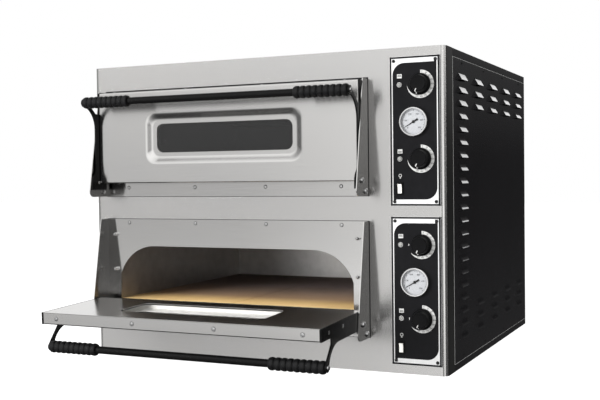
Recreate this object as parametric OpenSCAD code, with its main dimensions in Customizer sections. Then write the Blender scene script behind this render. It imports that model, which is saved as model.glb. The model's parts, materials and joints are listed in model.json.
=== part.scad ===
// Twin-deck countertop pizza oven, built as an assembly of its separate pieces.
// Millimetres. +Z is up, the doors face -Y, the origin is the middle of the base's underside.

/* [Body] */
// Width of the body
body_w = 975; // [960:5:1100]
// Depth of the body, from the fascia to the back panel
body_d = 855; // [820:5:1000]
// Height of the body
body_h = 760; // [745:5:900]
// Thickness of the casing sheet
sheet = 2; // [1:0.5:3]
// Outer radius of the fascia's upright edges
corner_r = 16; // [8:1:30]
// Depth of the fascia's side returns
return_d = 59; // [40:1:80]
// Height of the top cover's lip
lid_lip = 20; // [12:1:30]
// Height of the base pan's lip
pan_lip = 17; // [12:1:30]

/* [Decks] */
// Height of the body that the two deck pitches leave over
deck_spare = 88; // [70:1:110]
// Gap from the body's left side to the first hinge cheek
bay_edge = 37.6; // [25:0.1:60]
// Width of the control column, from the second hinge cheek to the body's right side
column_w = 188.6; // [175:0.1:220]
// Height of the lower frame plate above the base
plate_z = 80; // [70:1:90]
// Height of a frame plate
plate_h = 276; // [268:1:290]
// Thickness of a frame plate
plate_t = 1.5; // [1:0.25:2.5]
// Width of the frame plate on each side of the mouth
jamb_w = 38.4; // [36:0.1:70]
// Height of the chamber's mouth
mouth_h = 141; // [120:1:150]
// Radius of the mouth's arched corners
mouth_r = 110; // [60:1:115]
// Height of the sill above the frame plate's bottom edge
sill_up = 64; // [56:1:70]
// Depth of the chamber
chamber_d = 660; // [600:5:700]
// Thickness of the chamber's sheet
liner_t = 2; // [1:0.5:3]
// Thickness of the baking stones
stone_t = 18; // [12:1:22]
// Diameter of the heating elements
element_d = 8.5; // [6:0.5:10]

/* [Doors] */
// Distance of the hinge axis in front of the fascia
pivot_fwd = 46; // [44:1:52]
// Height of the hinge axis above the frame plate's bottom edge
pivot_up = 37.5; // [34:0.5:42]
// Height of a door
door_h = 237; // [225:1:245]
// Thickness of a door
door_t = 29; // [24:1:30]
// Thickness of a door's sheet
door_sheet = 1.5; // [1:0.25:2]
// Thickness of the hinge cheeks
cheek_t = 2; // [1.5:0.5:3]
// Reach of the hinge cheeks at their top
cheek_top = 33; // [20:1:45]
// Reach of the hinge cheeks at their bottom
cheek_low = 79; // [70:1:90]
// Thickness of the doors' side plates
side_t = 4; // [3:0.5:5]
// Diameter of the hinge bolts and stop bolts
bolt_d = 8; // [6:0.5:10]
// Width of the window glass that shows
window_w = 386; // [300:1:420]
// Height of the window glass that shows
window_h = 73; // [60:1:80]
// Thickness of the window glass
glass_t = 4; // [3:0.5:5]

/* [Handles] */
// Diameter of the handle bar
rod_d = 18; // [14:1:22]
// Distance of the handle bar in front of the hinge axis
rod_fwd = 57; // [46:1:60]
// Height of the handle bar above the hinge axis
rod_up = 206; // [195:1:220]
// Diameter of the grips over their ribs
grip_d = 30; // [26:1:34]
// Length of a grip
grip_l = 136; // [120:1:180]
// Ribs on a grip
grip_ribs = 9; // [6:1:12]

/* [Controls] */
// Width of a control plate
ctrl_w = 120.5; // [118:0.5:130]
// Thickness of a control plate
ctrl_t = 2; // [1:0.5:3]
// Distance from the body's right side to the control plates
ctrl_edge = 13; // [12:0.5:24]
// Gap from the base to the lower control plate, and from the upper one to the top
ctrl_end = 21; // [14:0.5:30]
// Gap between the two control plates
ctrl_between = 25; // [14:0.5:40]
// Diameter of a thermostat knob
knob_d = 50; // [40:1:54]
// Height of a thermostat knob
knob_h = 21; // [16:1:28]
// Diameter of a thermometer's bezel
gauge_d = 68.5; // [60:0.5:72]
// Diameter of a pilot lamp's lens
lamp_d = 13; // [11:0.5:16]

/* [Louvres] */
// Upright distance from row to row
louvre_pitch_z = 31; // [24:1:40]
// Level distance from column to column
louvre_pitch_y = 153; // [110:1:180]
// Length of a louvre
louvre_l = 56; // [45:1:95]
// Height of a louvre's hood
hood_h = 17.5; // [10:0.5:20]
// Reach of a louvre's hood
hood_out = 9; // [4:0.5:12]

/* [Clearances] */
// Radial clearance of pins and screws in their holes
fit = 0.05; // [0.02:0.01:0.1]
// Clearance of pieces that come close as they move
gap = 0.3; // [0.2:0.05:0.6]
// Clearance between the doors' side plates and the hinge cheeks
side_gap = 1.4; // [1:0.1:2]

/* [Hidden] */
$fn = 64;

// Colours as the photo shows them
steel = [0.76, 0.76, 0.75];
bright = [0.88, 0.88, 0.88];
black = [0.06, 0.06, 0.06];
dark = [0.27, 0.25, 0.24];
stone_tan = [0.80, 0.66, 0.45];
white = [0.95, 0.95, 0.95];
wool = [0.85, 0.80, 0.62];

// Decks are counted from the bottom, and the lower door rests open
LOWER = 0;
UPPER = 1;
open_angle = 92;
rest_angle = [open_angle, 0];

// Places of the decks and of their chambers, with y counted from the fascia's front
cut = 1;
deck_pitch = (body_h - deck_spare) / 2;
bay_w = body_w - bay_edge - 2 * cheek_t - column_w;
deck_x = -body_w / 2 + bay_edge + cheek_t + bay_w / 2;
sill_z = plate_z + sill_up;
mouth_w = bay_w - 2 * jamb_w;
mouth_flare = 5;
chamber_side = 2;
chamber_w = mouth_w + 2 * chamber_side;
chamber_y = sheet;
floor_drop = 44;
floor_z = sill_z - floor_drop;
ceiling_rise = 15;
ceiling_z = sill_z + mouth_h + ceiling_rise;
liner_w = chamber_w + 2 * liner_t;
liner_d = chamber_d + 2 * liner_t;
ledge_w = 14;
ledge_t = 6;
rail_s = 24;
rail_inset = 100;
rail_z = floor_z - liner_t - rail_s;

// Places of the control column and the bulkhead
ctrl_x = body_w / 2 - ctrl_edge - ctrl_w / 2;
ctrl_h = (body_h - 2 * ctrl_end - ctrl_between) / 2;
ctrl_z = ctrl_end + ctrl_h / 2;
ctrl_pitch = ctrl_h + ctrl_between;
ctrl_corner = 6;
bulkhead_gap = 25;
bulkhead_x = ctrl_x - ctrl_w / 2 - bulkhead_gap;
dial_dx = 14.2;
dial_dz = [108, -64];
gauge_dx = -2;
gauge_dz = 21.5;
lamp_dx = -36.3;
rocker_dx = -37;
rocker_dz = -132.4;
panel_screw_in = 10;
spindle_r = 3;
spindle_l = 14;
spindle_hole_r = 5;
pointer_angle = 200;
needle_angle = -120;

// Thermometer, pilot lamp and rocker sizes
gauge_r = gauge_d / 2;
gauge_flange = 5;
gauge_body_r = gauge_r - gauge_flange;
gauge_wall = 2.7;
gauge_lip = 1.5;
gauge_h = 9;
gauge_back = 32;
dial_r = gauge_r - gauge_wall;
dial_t = 1.5;
pane_t = 1.5;
pin_r = 1.5;
pilot_r = 5;
pilot_l = 25;
rocker_w = 11.6;
rocker_h = 25.6;
rocker_rim = 1.8;
rocker_tilt = 7;
rocker_swing_h = 24;
rocker_swing_d = 7;
rocker_slot_w = 10.2;
rocker_paddle_w = 9.4;
rocker_pin_r = 1.5;

// Screws share these sizes
screw_r = 2;
head_r = 4;
head_h = 2;
head_taper = 0.6;
casing_screw_l = 4;
plate_screw_edge = 67.9;
plate_screw_pitch = (bay_w - 2 * plate_screw_edge) / 3;
plate_screw_top = 9.6;
plate_screw_low = 23.3;
lip_screw_edge = 40;
door_screw_l = 5;
bolt_r = bolt_d / 2;
bolt_head_r = 7;
bolt_head_h = 5;
bolt_taper = 0.7;

// Door sections, counted forward and up from the hinge axis
pivot_z = plate_z + pivot_up;
skin_back = 3;
door_back = skin_back + door_t;
door_below = 2;
door_top = door_h - door_below;
door_w = bay_w - 2 * (side_gap + side_t);
lip_screw_pitch = (door_w - 2 * lip_screw_edge) / 3;
side_x = door_w / 2;
stop_fwd = 22;
stop_drop = 25.5;
lobe_drop = (pivot_fwd - stop_fwd) * sin(open_angle) + stop_drop * cos(open_angle) - bolt_r - gap;
lobe_r = 30;
strip_fwd = 12;
boss_r = 10.5;
arm_drop = 26;
arm_w = 39;
arm_bend = 58.5;
arm_fillet = 20;
stud_r = 4.5;
stud_edge = 25.1;
stud_dx = bay_w / 2 - stud_edge;
stud_up = [143, 235];
stud_l = pivot_fwd - door_back - plate_t - gap;
window_up = 112.5;
window_r = 18;
flange_w = 14;
recess_edge = 10;
recess_d = 8;
inner_window_side = 4;
inner_window_w = window_w + 2 * inner_window_side;
inner_window_h = 120;
inner_window_up = 105;
glass_lap = 8;
plate_screw_up = [115, 194];
sink_r = 4.5;
sink_h = 2.3;
rod_screw_r = 4;
rod_screw_l = 20;
rod_head_r = 6;
rod_head_h = 4;
rib_depth = 3;

// Heating elements and chamber lamps, counted from the deck's middle and the fascia
element_r = element_d / 2;
element_bend = 55;
element_rows = [0.18, 0.5, 0.82];
element_left = 60;
element_end = 25;
element_under = 8;
element_z = [sill_z - stone_t - ledge_t - element_under, ceiling_z - element_d - liner_t];
ferrule_r = 7;
ferrule_t = 3;
lamp_y = 100;
lamp_up = 75;
lamp_hole_r = 20;
lamp_flange_r = 32;
lamp_flange_t = 3;
lamp_dome_r = 27;
lamp_dome_h = 11;
holder_r = 24;
holder_l = 42;

// Casing details
wool_gap = 2;
wool_lift = 9;
wool_base = pan_lip + wool_lift;
wool_back = 60;
stand_inset_x = 62.5;
stand_inset_y = 77.5;
stand_r = 4.5;
side_screw_front = 79;
side_screw_back = 85;
back_screw_edge = 60;
pan_screw_up = 11;
lid_screw_down = 9;
gland_r = 11;
gland_bore_r = 7;
gland_x = ctrl_x;
gland_z = 120;
gland_collar = 7;
gland_collar_t = 6;
gland_cap = 4;
gland_cap_l = 18;
gland_tip = 3;
gland_tail = 10;
gland_nut_t = 6;
hood_t = 1.2;
hood_nose = 2;
louvre_y = 106;
louvre_drop = 53;
louvre_base = 65;
louvre_back = 40;
louvre_rows = 1 + floor((body_h - louvre_drop - hood_h - louvre_base) / louvre_pitch_z);
louvre_cols = 1 + floor((body_d - louvre_y - louvre_l - louvre_back) / louvre_pitch_y);
louvre_end_rows = 3;
back_louvre_drop = 150;

// Draws children with y counted from the fascia's front face
module from_front() {
    translate([0, -body_d / 2, 0]) children();
}

// Draws children on deck k, with x counted from the deck's middle
module on_deck(k) {
    from_front() translate([deck_x, 0, k * deck_pitch]) children();
}

// Draws children in a door's own closed frame, and turns it to its rest pose
module on_hinge(k) {
    on_deck(k) translate([0, -pivot_fwd, pivot_z]) rotate([rest_angle[k], 0, 0]) children();
}

// Draws children on control plate k, with y counted back from the plate's front face
module on_controls(k) {
    from_front() translate([ctrl_x, -ctrl_t, ctrl_z + k * ctrl_pitch]) children();
}

// Turns a flat (x, z) outline into a slab whose back face is at y_back
module front_slab(y_back, t) {
    translate([0, y_back, 0]) rotate([90, 0, 0]) linear_extrude(t) children();
}

// Turns a flat (forward, up) outline into a plate that runs from x0 to x0 + t
module side_slab(x0, t) {
    translate([x0 + t, 0, 0]) rotate([90, 0, -90]) linear_extrude(t) children();
}

// A cylinder along x that starts at x0
module x_rod(x0, r, l) {
    translate([x0, 0, 0]) rotate([0, 90, 0]) cylinder(r = r, h = l);
}

// A cylinder along y that starts at y0
module y_rod(y0, r, l) {
    translate([0, y0, 0]) rotate([-90, 0, 0]) cylinder(r = r, h = l);
}

// A flat rectangle with round corners
module round_rect(w, h, r) {
    square([w - 2 * r, h], center = true);
    square([w, h - 2 * r], center = true);
    for (x = [-1, 1], y = [-1, 1]) translate([x * (w / 2 - r), y * (h / 2 - r)]) circle(r);
}

// A round-headed screw that goes in along +y, with its head's seat at y = 0
module screw_y(l) {
    rotate([90, 0, 0]) cylinder(r1 = head_r, r2 = head_r * head_taper, h = head_h);
    y_rod(0, screw_r, l);
}

// Mirrors children to the left side when s is negative
module mirror_side(s) {
    mirror([s < 0 ? 1 : 0, 0, 0]) children();
}

// Turns a (radius, forward) section about a forward axis
module turned_forward() {
    rotate([90, 0, 0]) rotate_extrude() children();
}

// The fascia's plan outline, solid
module fascia_plan(w, d, r) {
    translate([-w / 2, r]) square([w, d - r]);
    translate([-w / 2 + r, 0]) square([w - 2 * r, d]);
    for (s = [-1, 1]) translate([s * (w / 2 - r), r]) circle(r);
}

// A shallow tray h high: inside the fascia at the front, flush with the side panels behind it
module casing_tray(h) {
    difference() {
        linear_extrude(h) union() {
            translate([0, sheet]) fascia_plan(body_w - 2 * sheet, body_d - sheet, corner_r - sheet);
            translate([-body_w / 2, return_d]) square([body_w, body_d - return_d]);
        }
        translate([0, 2 * sheet, sheet]) linear_extrude(h)
            fascia_plan(body_w - 4 * sheet, body_d - 3 * sheet, corner_r - 2 * sheet);
    }
}

// The arched mouth of a chamber
module mouth_outline() {
    arch_w = mouth_w + 2 * mouth_flare;
    translate([0, sill_z]) intersection() {
        translate([-mouth_w / 2, 0]) square([mouth_w, mouth_h]);
        union() {
            translate([-arch_w / 2, 0]) square([arch_w, mouth_h - mouth_r]);
            translate([-arch_w / 2 + mouth_r, 0]) square([arch_w - 2 * mouth_r, mouth_h]);
            for (s = [-1, 1]) translate([s * (arch_w / 2 - mouth_r), mouth_h - mouth_r]) circle(mouth_r);
        }
    }
}

// Draws children at each plate screw of a deck
module at_plate_screws() {
    for (i = [-1.5 : 1 : 1.5], z = [plate_z + plate_screw_low, plate_z + plate_h - plate_screw_top])
        translate([i * plate_screw_pitch, 0, z]) children();
}

// Draws children at each door stop stud of a deck
module at_studs() {
    for (s = [-1, 1], up = stud_up) translate([s * stud_dx, 0, plate_z + up]) children();
}

// Draws children at each corner screw of a control plate
module at_panel_screws() {
    for (x = [-1, 1], z = [-1, 1])
        translate([x * (ctrl_w / 2 - panel_screw_in), 0, z * (ctrl_h / 2 - panel_screw_in)]) children();
}

// Draws children at each side casing screw, for side s
module at_side_screws(s) {
    first = return_d + side_screw_front;
    last = body_d - side_screw_back;
    for (i = [0 : 3], z = [pan_lip + pan_screw_up, body_h - lid_lip - lid_screw_down])
        translate([s * body_w / 2, first + i * (last - first) / 3, z]) children();
}

// Draws children at each back panel screw
module at_back_screws() {
    pitch = (body_w - 2 * back_screw_edge) / 3;
    for (i = [-1.5 : 1 : 1.5], z = [pan_lip + pan_screw_up, body_h - lid_lip - lid_screw_down])
        translate([i * pitch, body_d, z]) children();
}

// A louvre hood along +y that stands out to +x, and the space under it
module hood(l) {
    translate([0, l, 0]) rotate([90, 0, 0]) linear_extrude(l)
        polygon([[-sheet / 2, 0], [hood_out, 0], [hood_out, hood_nose], [0, hood_h], [-sheet / 2, hood_h]]);
}

module hood_space(l) {
    inner = hood_out - hood_t;
    roof = hood_h - 2 * hood_t;
    translate([0, l - hood_t, 0]) rotate([90, 0, 0]) linear_extrude(l - 2 * hood_t)
        polygon([[-sheet - cut, -cut], [inner, -cut], [inner, hood_nose - hood_t / 2], [-hood_t, roof],
                 [-sheet - cut, roof]]);
}

// Draws children at each louvre of the right side panel
module at_louvres() {
    top_z = body_h - louvre_drop - hood_h;
    for (c = [0 : louvre_cols - 1], r = [0 : louvre_rows - 1])
        if (c == 0 || r < louvre_end_rows || r >= louvre_rows - louvre_end_rows)
            translate([body_w / 2, louvre_y + c * louvre_pitch_y, top_z - r * louvre_pitch_z]) children();
}

// Draws children at each louvre of the back panel
module at_back_louvres() {
    for (r = [0 : louvre_end_rows - 1])
        translate([ctrl_x + louvre_l / 2, body_d, body_h - back_louvre_drop - r * louvre_pitch_z])
            rotate([0, 0, 90]) children();
}

// Draws children at each dial, at the thermometer and at each pilot lamp of a control plate
module at_dials() {
    for (dz = dial_dz) translate([dial_dx, 0, dz]) children();
}

module at_gauge() {
    translate([gauge_dx, 0, gauge_dz]) children();
}

module at_pilots() {
    for (dz = dial_dz) translate([lamp_dx, 0, dz]) children();
}

// The holes that the controls need in a sheet from y0 to y0 + t
module control_holes(y0, t) {
    from = y0 - cut;
    through = t + 2 * cut;
    at_dials() y_rod(from, spindle_hole_r, through);
    at_gauge() y_rod(from, gauge_body_r + gap, through);
    at_pilots() y_rod(from, pilot_r + fit, through);
    at_panel_screws() y_rod(from, screw_r + fit, through);
    translate([rocker_dx - rocker_w / 2 - fit, from, rocker_dz - rocker_h / 2 - fit])
        cube([rocker_w + 2 * fit, through, rocker_h + 2 * fit]);
}

// Casing

module base_pan() {
    stand_x = body_w / 2 - stand_inset_x;
    stand_y = body_d / 2 - stand_inset_y;
    color(black) difference() {
        from_front() casing_tray(pan_lip);
        for (x = [-1, 1], y = [-1, 1])
            translate([x * stand_x, y * stand_y, -cut]) cylinder(r = stand_r, h = sheet + 2 * cut);
    }
}

module front_fascia() {
    color(steel) from_front() difference() {
        linear_extrude(body_h) difference() {
            fascia_plan(body_w, return_d, corner_r);
            translate([0, sheet]) fascia_plan(body_w - 2 * sheet, return_d, corner_r - sheet);
        }
        for (k = [LOWER, UPPER]) {
            translate([deck_x, 0, k * deck_pitch]) {
                translate([-chamber_w / 2, -cut, sill_z - gap])
                    cube([chamber_w, sheet + 2 * cut, ceiling_z - sill_z + gap]);
                at_plate_screws() y_rod(-cut, screw_r + fit, sheet + 2 * cut);
                at_studs() y_rod(-cut, screw_r + fit, sheet + 2 * cut);
            }
            translate([ctrl_x, 0, ctrl_z + k * ctrl_pitch]) control_holes(0, sheet);
        }
    }
}

// A side panel's sheet, for side s
module side_sheet(s) {
    x0 = s > 0 ? body_w / 2 - sheet : -body_w / 2;
    difference() {
        translate([x0, return_d, pan_lip]) cube([sheet, body_d - return_d, body_h - lid_lip - pan_lip]);
        at_side_screws(s) x_rod(-sheet - cut, screw_r + fit, 2 * (sheet + cut));
    }
}

module left_side_panel() {
    color(black) from_front() side_sheet(-1);
}

module right_side_panel() {
    color(black) from_front() difference() {
        union() {
            side_sheet(1);
            at_louvres() hood(louvre_l);
        }
        at_louvres() hood_space(louvre_l);
    }
}

module top_cover() {
    color(black) from_front() translate([0, 0, body_h]) mirror([0, 0, 1]) casing_tray(lid_lip);
}

module back_panel() {
    color(black) from_front() difference() {
        union() {
            translate([-body_w / 2 + sheet, body_d - sheet, pan_lip])
                cube([body_w - 2 * sheet, sheet, body_h - lid_lip - pan_lip]);
            at_back_louvres() hood(louvre_l);
        }
        at_back_louvres() hood_space(louvre_l);
        translate([gland_x, 0, gland_z]) y_rod(body_d - sheet - cut, gland_r + fit, sheet + 2 * cut);
        at_back_screws() y_rod(-sheet - cut, screw_r + fit, sheet + 2 * cut);
    }
}

module cable_gland() {
    inner_end = -sheet - gland_tail;
    outer_end = gland_collar_t + gland_cap_l;
    color(dark) from_front() translate([gland_x, body_d, gland_z]) difference() {
        union() {
            y_rod(0, gland_r + gland_collar, gland_collar_t);
            translate([0, gland_collar_t, 0]) rotate([-90, 0, 0])
                cylinder(r1 = gland_r + gland_cap, r2 = gland_bore_r + gland_tip, h = gland_cap_l);
            y_rod(inner_end, gland_r, -inner_end);
            y_rod(-sheet - gland_nut_t, gland_r + gland_cap, gland_nut_t);
        }
        y_rod(inner_end - cut, gland_bore_r, outer_end - inner_end + 2 * cut);
    }
}

module casing_screws() {
    l = sheet + casing_screw_l;
    color(dark) from_front() {
        at_side_screws(1) rotate([0, 0, 90]) screw_y(l);
        at_side_screws(-1) rotate([0, 0, -90]) screw_y(l);
        at_back_screws() rotate([0, 0, 180]) screw_y(l);
    }
}

module bulkhead() {
    color(dark) from_front() difference() {
        translate([bulkhead_x, 2 * sheet, sheet])
            cube([sheet, body_d - 3 * sheet, body_h - 2 * sheet]);
        for (k = [LOWER, UPPER]) translate([deck_x, 0, k * deck_pitch])
            at_element_legs() x_rod(0, element_r + gap, body_w);
    }
}

// A bar along x with a square section, centred on a chamber rail of deck k at distance y
module rail_bar(k, y, x0, l, size) {
    inset = (rail_s - size) / 2;
    translate([x0, chamber_y + y - size / 2, k * deck_pitch + rail_z + inset]) cube([l, size, size]);
}

module chamber_rails() {
    x0 = -body_w / 2 + sheet;
    l = bulkhead_x - x0;
    color(dark) from_front() for (k = [LOWER, UPPER], y = [rail_inset, liner_d - rail_inset]) difference() {
        rail_bar(k, y, x0, l, rail_s);
        rail_bar(k, y, x0 - cut, l + 2 * cut, rail_s - 2 * sheet);
    }
}

module insulation() {
    x0 = -body_w / 2 + corner_r;
    color(wool) from_front() for (k = [LOWER, UPPER]) difference() {
        translate([x0, sheet, k * deck_pitch + wool_base])
            cube([bulkhead_x - x0, liner_d + wool_back, deck_pitch - wool_gap]);
        translate([deck_x, 0, k * deck_pitch]) {
            liner_block();
            at_element_legs() x_rod(0, ferrule_r + gap, body_w);
            at_lamp() x_rod(0, holder_r + gap, holder_l + liner_w / 2 + gap);
        }
        for (y = [rail_inset, liner_d - rail_inset]) rail_bar(k, y, -body_w, 2 * body_w, rail_s);
    }
}

module terminal_block() {
    ways = 5;
    way_w = 14;
    block_t = 12;
    block_h = 34;
    post_r = 5;
    post_h = 8;
    from_back = 140;
    color(white) from_front() translate([bulkhead_x + sheet, body_d - from_back, gland_z]) {
        cube([block_t, ways * way_w, block_h]);
        for (i = [0 : ways - 1]) translate([0, (i + 0.5) * way_w, block_h / 2]) x_rod(block_t, post_r, post_h);
    }
}

// Decks

// The outside of a chamber's liner
module liner_block() {
    translate([-liner_w / 2, chamber_y, floor_z - liner_t])
        cube([liner_w, liner_d, ceiling_z - floor_z + 2 * liner_t]);
}

// Draws children at the start of each straight element leg of a deck, on the deck's middle line
module at_element_legs() {
    for (z = element_z, row = element_rows, s = [-1, 1])
        translate([0, chamber_y + row * liner_d + s * element_bend, z]) children();
}

// Draws children at the middle of each element bend of a deck
module at_element_bends() {
    for (z = element_z, row = element_rows) translate([0, chamber_y + row * liner_d, z]) children();
}

// Draws children at a chamber's lamp, on the deck's middle line
module at_lamp() {
    translate([0, lamp_y, sill_z + lamp_up]) children();
}

// The side outline of a hinge cheek, counted forward from the fascia
module cheek_outline() {
    round_r = 16;
    top_z = plate_z + plate_h;
    polygon([[0, plate_z], [cheek_low - round_r, plate_z], [cheek_low, plate_z + round_r], [cheek_top, top_z],
             [0, top_z]]);
    translate([cheek_low - round_r, plate_z + round_r]) circle(round_r);
}

module frame_plate(k) {
    color(steel) on_deck(k) difference() {
        union() {
            front_slab(0, plate_t) translate([-bay_w / 2, plate_z]) square([bay_w, plate_h]);
            side_slab(bay_w / 2, cheek_t) cheek_outline();
            side_slab(-bay_w / 2 - cheek_t, cheek_t) cheek_outline();
        }
        front_slab(cut, plate_t + 2 * cut) mouth_outline();
        at_plate_screws() y_rod(-plate_t - cut, screw_r + fit, plate_t + 2 * cut);
        at_studs() y_rod(-plate_t - cut, screw_r + fit, plate_t + 2 * cut);
        at_cheek_bolts() x_rod(-body_w, bolt_r + fit, 2 * body_w);
    }
}

// Draws children on the axes of a deck's hinge bolts and stop bolts
module at_cheek_bolts() {
    translate([0, -pivot_fwd, pivot_z]) children();
    translate([0, -stop_fwd, pivot_z - stop_drop]) children();
}

module chamber_liner(k) {
    color(dark) on_deck(k) {
        difference() {
            liner_block();
            translate([-chamber_w / 2, chamber_y + liner_t, floor_z])
                cube([chamber_w, chamber_d, ceiling_z - floor_z]);
            translate([-chamber_w / 2, chamber_y - cut, sill_z - gap])
                cube([chamber_w, liner_t + 2 * cut, ceiling_z - sill_z + gap]);
            at_element_legs() x_rod(0, element_r + fit, liner_w);
            at_lamp() x_rod(0, lamp_hole_r + fit, liner_w);
        }
        for (x = [-chamber_w / 2, -ledge_w / 2, chamber_w / 2 - ledge_w])
            translate([x, chamber_y + liner_t, sill_z - stone_t - ledge_t]) cube([ledge_w, chamber_d, ledge_t]);
    }
}

module baking_stones(k) {
    stone_w = (chamber_w - 3 * gap) / 2;
    color(stone_tan) on_deck(k) for (s = [-1, 1])
        translate([s * (stone_w + gap) / 2 - stone_w / 2, chamber_y + liner_t + gap, sill_z - stone_t])
            cube([stone_w, chamber_d - 2 * gap, stone_t]);
}

module heating_elements(k) {
    left = -chamber_w / 2 + element_left;
    end = bulkhead_x - deck_x + sheet + element_end;
    color(dark) on_deck(k) {
        at_element_legs() {
            x_rod(left + element_bend, element_r, end - left - element_bend);
            x_rod(liner_w / 2, ferrule_r, ferrule_t);
        }
        at_element_bends() translate([left + element_bend, 0, 0]) rotate([0, 0, 90])
            rotate_extrude(angle = 180) translate([element_bend, 0]) circle(element_r);
    }
}

module plate_screws() {
    color(bright) for (k = [LOWER, UPPER]) on_deck(k) at_plate_screws()
        translate([0, -plate_t, 0]) screw_y(plate_t + sheet);
}

module door_stops() {
    color(bright) for (k = [LOWER, UPPER]) on_deck(k) at_studs() {
        y_rod(-plate_t - stud_l, stud_r, stud_l);
        y_rod(-plate_t, screw_r, plate_t + sheet);
    }
}

module hinge_bolts() {
    inner = door_w / 2 + gap;
    outer = bay_w / 2 + cheek_t;
    color(bright) for (k = [LOWER, UPPER], s = [-1, 1]) on_deck(k) at_cheek_bolts()
        mirror_side(s) {
            x_rod(inner, bolt_r, outer - inner);
            translate([outer, 0, 0]) rotate([0, 90, 0])
                cylinder(r1 = bolt_head_r, r2 = bolt_head_r * bolt_taper, h = bolt_head_h);
        }
}

module lamp_holders() {
    color(white) for (k = [LOWER, UPPER]) on_deck(k) at_lamp() x_rod(liner_w / 2, holder_r, holder_l);
}

module lamp_glasses() {
    seat = chamber_w / 2 - lamp_flange_t;
    color(white) for (k = [LOWER, UPPER]) on_deck(k) at_lamp() {
        x_rod(seat, lamp_flange_r, lamp_flange_t);
        x_rod(chamber_w / 2, lamp_hole_r, liner_t);
        translate([seat, 0, 0]) rotate([0, -90, 0])
            cylinder(r1 = lamp_dome_r, r2 = lamp_hole_r, h = lamp_dome_h);
    }
}

// Doors, each in its closed frame with the hinge axis at the origin

// Draws a flat (x, up) outline as a slab of a door, from depth y0 to y0 + t
module door_slab(y0, t) {
    front_slab(y0 + t, t) children();
}

module door_outline(inset) {
    translate([-door_w / 2 + inset, -door_below + inset]) square([door_w - 2 * inset, door_h - 2 * inset]);
}

module window_outline(extra) {
    translate([0, window_up])
        round_rect(window_w + 2 * extra, window_h + 2 * extra, window_r + extra / 3);
}

module inner_window_outline(extra) {
    translate([0, inner_window_up])
        round_rect(inner_window_w + 2 * extra, inner_window_h + 2 * extra, window_r);
}

module door_skin(k) {
    recess = flange_w + recess_edge;
    color(steel) on_hinge(k) difference() {
        union() {
            difference() {
                door_slab(skin_back, door_t - door_sheet) door_outline(0);
                door_slab(skin_back + door_sheet, door_t) door_outline(door_sheet);
                door_slab(skin_back - cut, door_t) window_outline(recess - door_sheet);
            }
            door_slab(skin_back, recess_d + door_sheet) difference() {
                window_outline(recess);
                window_outline(recess - door_sheet);
            }
            door_slab(skin_back + recess_d, door_sheet) difference() {
                window_outline(recess);
                window_outline(0);
            }
        }
        at_side_plate_screws() x_rod(-door_w, screw_r + fit, 2 * door_w);
        at_lip_screws() translate([0, 0, -door_screw_l]) cylinder(r = screw_r + fit, h = 2 * door_screw_l);
    }
}

module door_inner_panel(k) {
    color(bright) on_hinge(k) door_slab(door_back - door_sheet, door_sheet) difference() {
        door_outline(0);
        inner_window_outline(0);
    }
}

module door_glass(k) {
    color([0.2, 0.2, 0.2, 0.5]) on_hinge(k) {
        door_slab(skin_back + recess_d + door_sheet, glass_t) window_outline(glass_lap);
        door_slab(door_back - door_sheet - glass_t, glass_t) inner_window_outline(glass_lap);
    }
}

// A shallow tray between the two panes that frames the window
module window_frame(k) {
    front = skin_back + recess_d + door_sheet + glass_t;
    back = door_back - door_sheet - glass_t;
    color(white) on_hinge(k) {
        door_slab(front, door_sheet) difference() {
            inner_window_outline(glass_lap);
            window_outline(0);
        }
        door_slab(front, back - front) difference() {
            inner_window_outline(glass_lap);
            inner_window_outline(glass_lap - door_sheet);
        }
    }
}

// Draws children on the axes of the side plate screws
module at_side_plate_screws() {
    for (up = plate_screw_up) translate([0, skin_back + door_t / 2, up]) children();
}

// Draws children at each screw on the door's top edge
module at_lip_screws() {
    for (i = [-1.5 : 1 : 1.5]) translate([i * lip_screw_pitch, skin_back + door_t / 2, door_top]) children();
}

// The side plate's outline, counted forward and up from the hinge axis
module side_plate_outline() {
    arm_z = rod_up - arm_drop;
    bend_z = arm_z - arm_w;
    tip = boss_r * sin(45);
    fillet_x = strip_fwd + arm_fillet;
    fillet_z = sqrt(pow(lobe_r + arm_fillet, 2) - pow(fillet_x, 2)) - door_below;
    lobe_share = lobe_r / (lobe_r + arm_fillet);
    touch = [fillet_x * lobe_share, (fillet_z + door_below) * lobe_share - door_below];
    translate([-door_back, -lobe_drop]) square([door_t, door_top + lobe_drop]);
    translate([-skin_back - cut, -lobe_drop]) square([skin_back + cut + strip_fwd, arm_z + lobe_drop]);
    translate([rod_fwd, rod_up]) circle(boss_r);
    difference() {
        polygon([[strip_fwd - cut, bend_z], [strip_fwd + arm_bend, bend_z], [rod_fwd, rod_up],
                 [rod_fwd - tip, rod_up + tip], [strip_fwd - cut, arm_z]]);
        translate([strip_fwd + arm_bend, bend_z]) circle(arm_bend);
    }
    intersection() {
        union() {
            translate([0, -door_below]) circle(lobe_r);
            translate([0, -lobe_r]) square([lobe_r, lobe_r - door_below]);
        }
        translate([0, -lobe_drop]) square([2 * lobe_r, 3 * lobe_r]);
    }
    difference() {
        polygon([[strip_fwd - cut, fillet_z], [strip_fwd - cut, touch[1] - cut], touch, [fillet_x, fillet_z]]);
        translate([fillet_x, fillet_z]) circle(arm_fillet);
    }
}

module side_plate(k, s) {
    color(black) on_hinge(k) mirror_side(s) difference() {
        side_slab(side_x, side_t) side_plate_outline();
        x_rod(side_x - cut, bolt_r + fit, side_t + 2 * cut);
        at_side_plate_screws() {
            x_rod(side_x - cut, screw_r + fit, side_t + 2 * cut);
            translate([side_x + side_t - sink_h, 0, 0]) rotate([0, 90, 0])
                cylinder(r1 = screw_r + fit, r2 = sink_r + fit, h = sink_h);
        }
        translate([0, -rod_fwd, rod_up]) x_rod(side_x - cut, rod_screw_r + fit, side_t + 2 * cut);
    }
}

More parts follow.
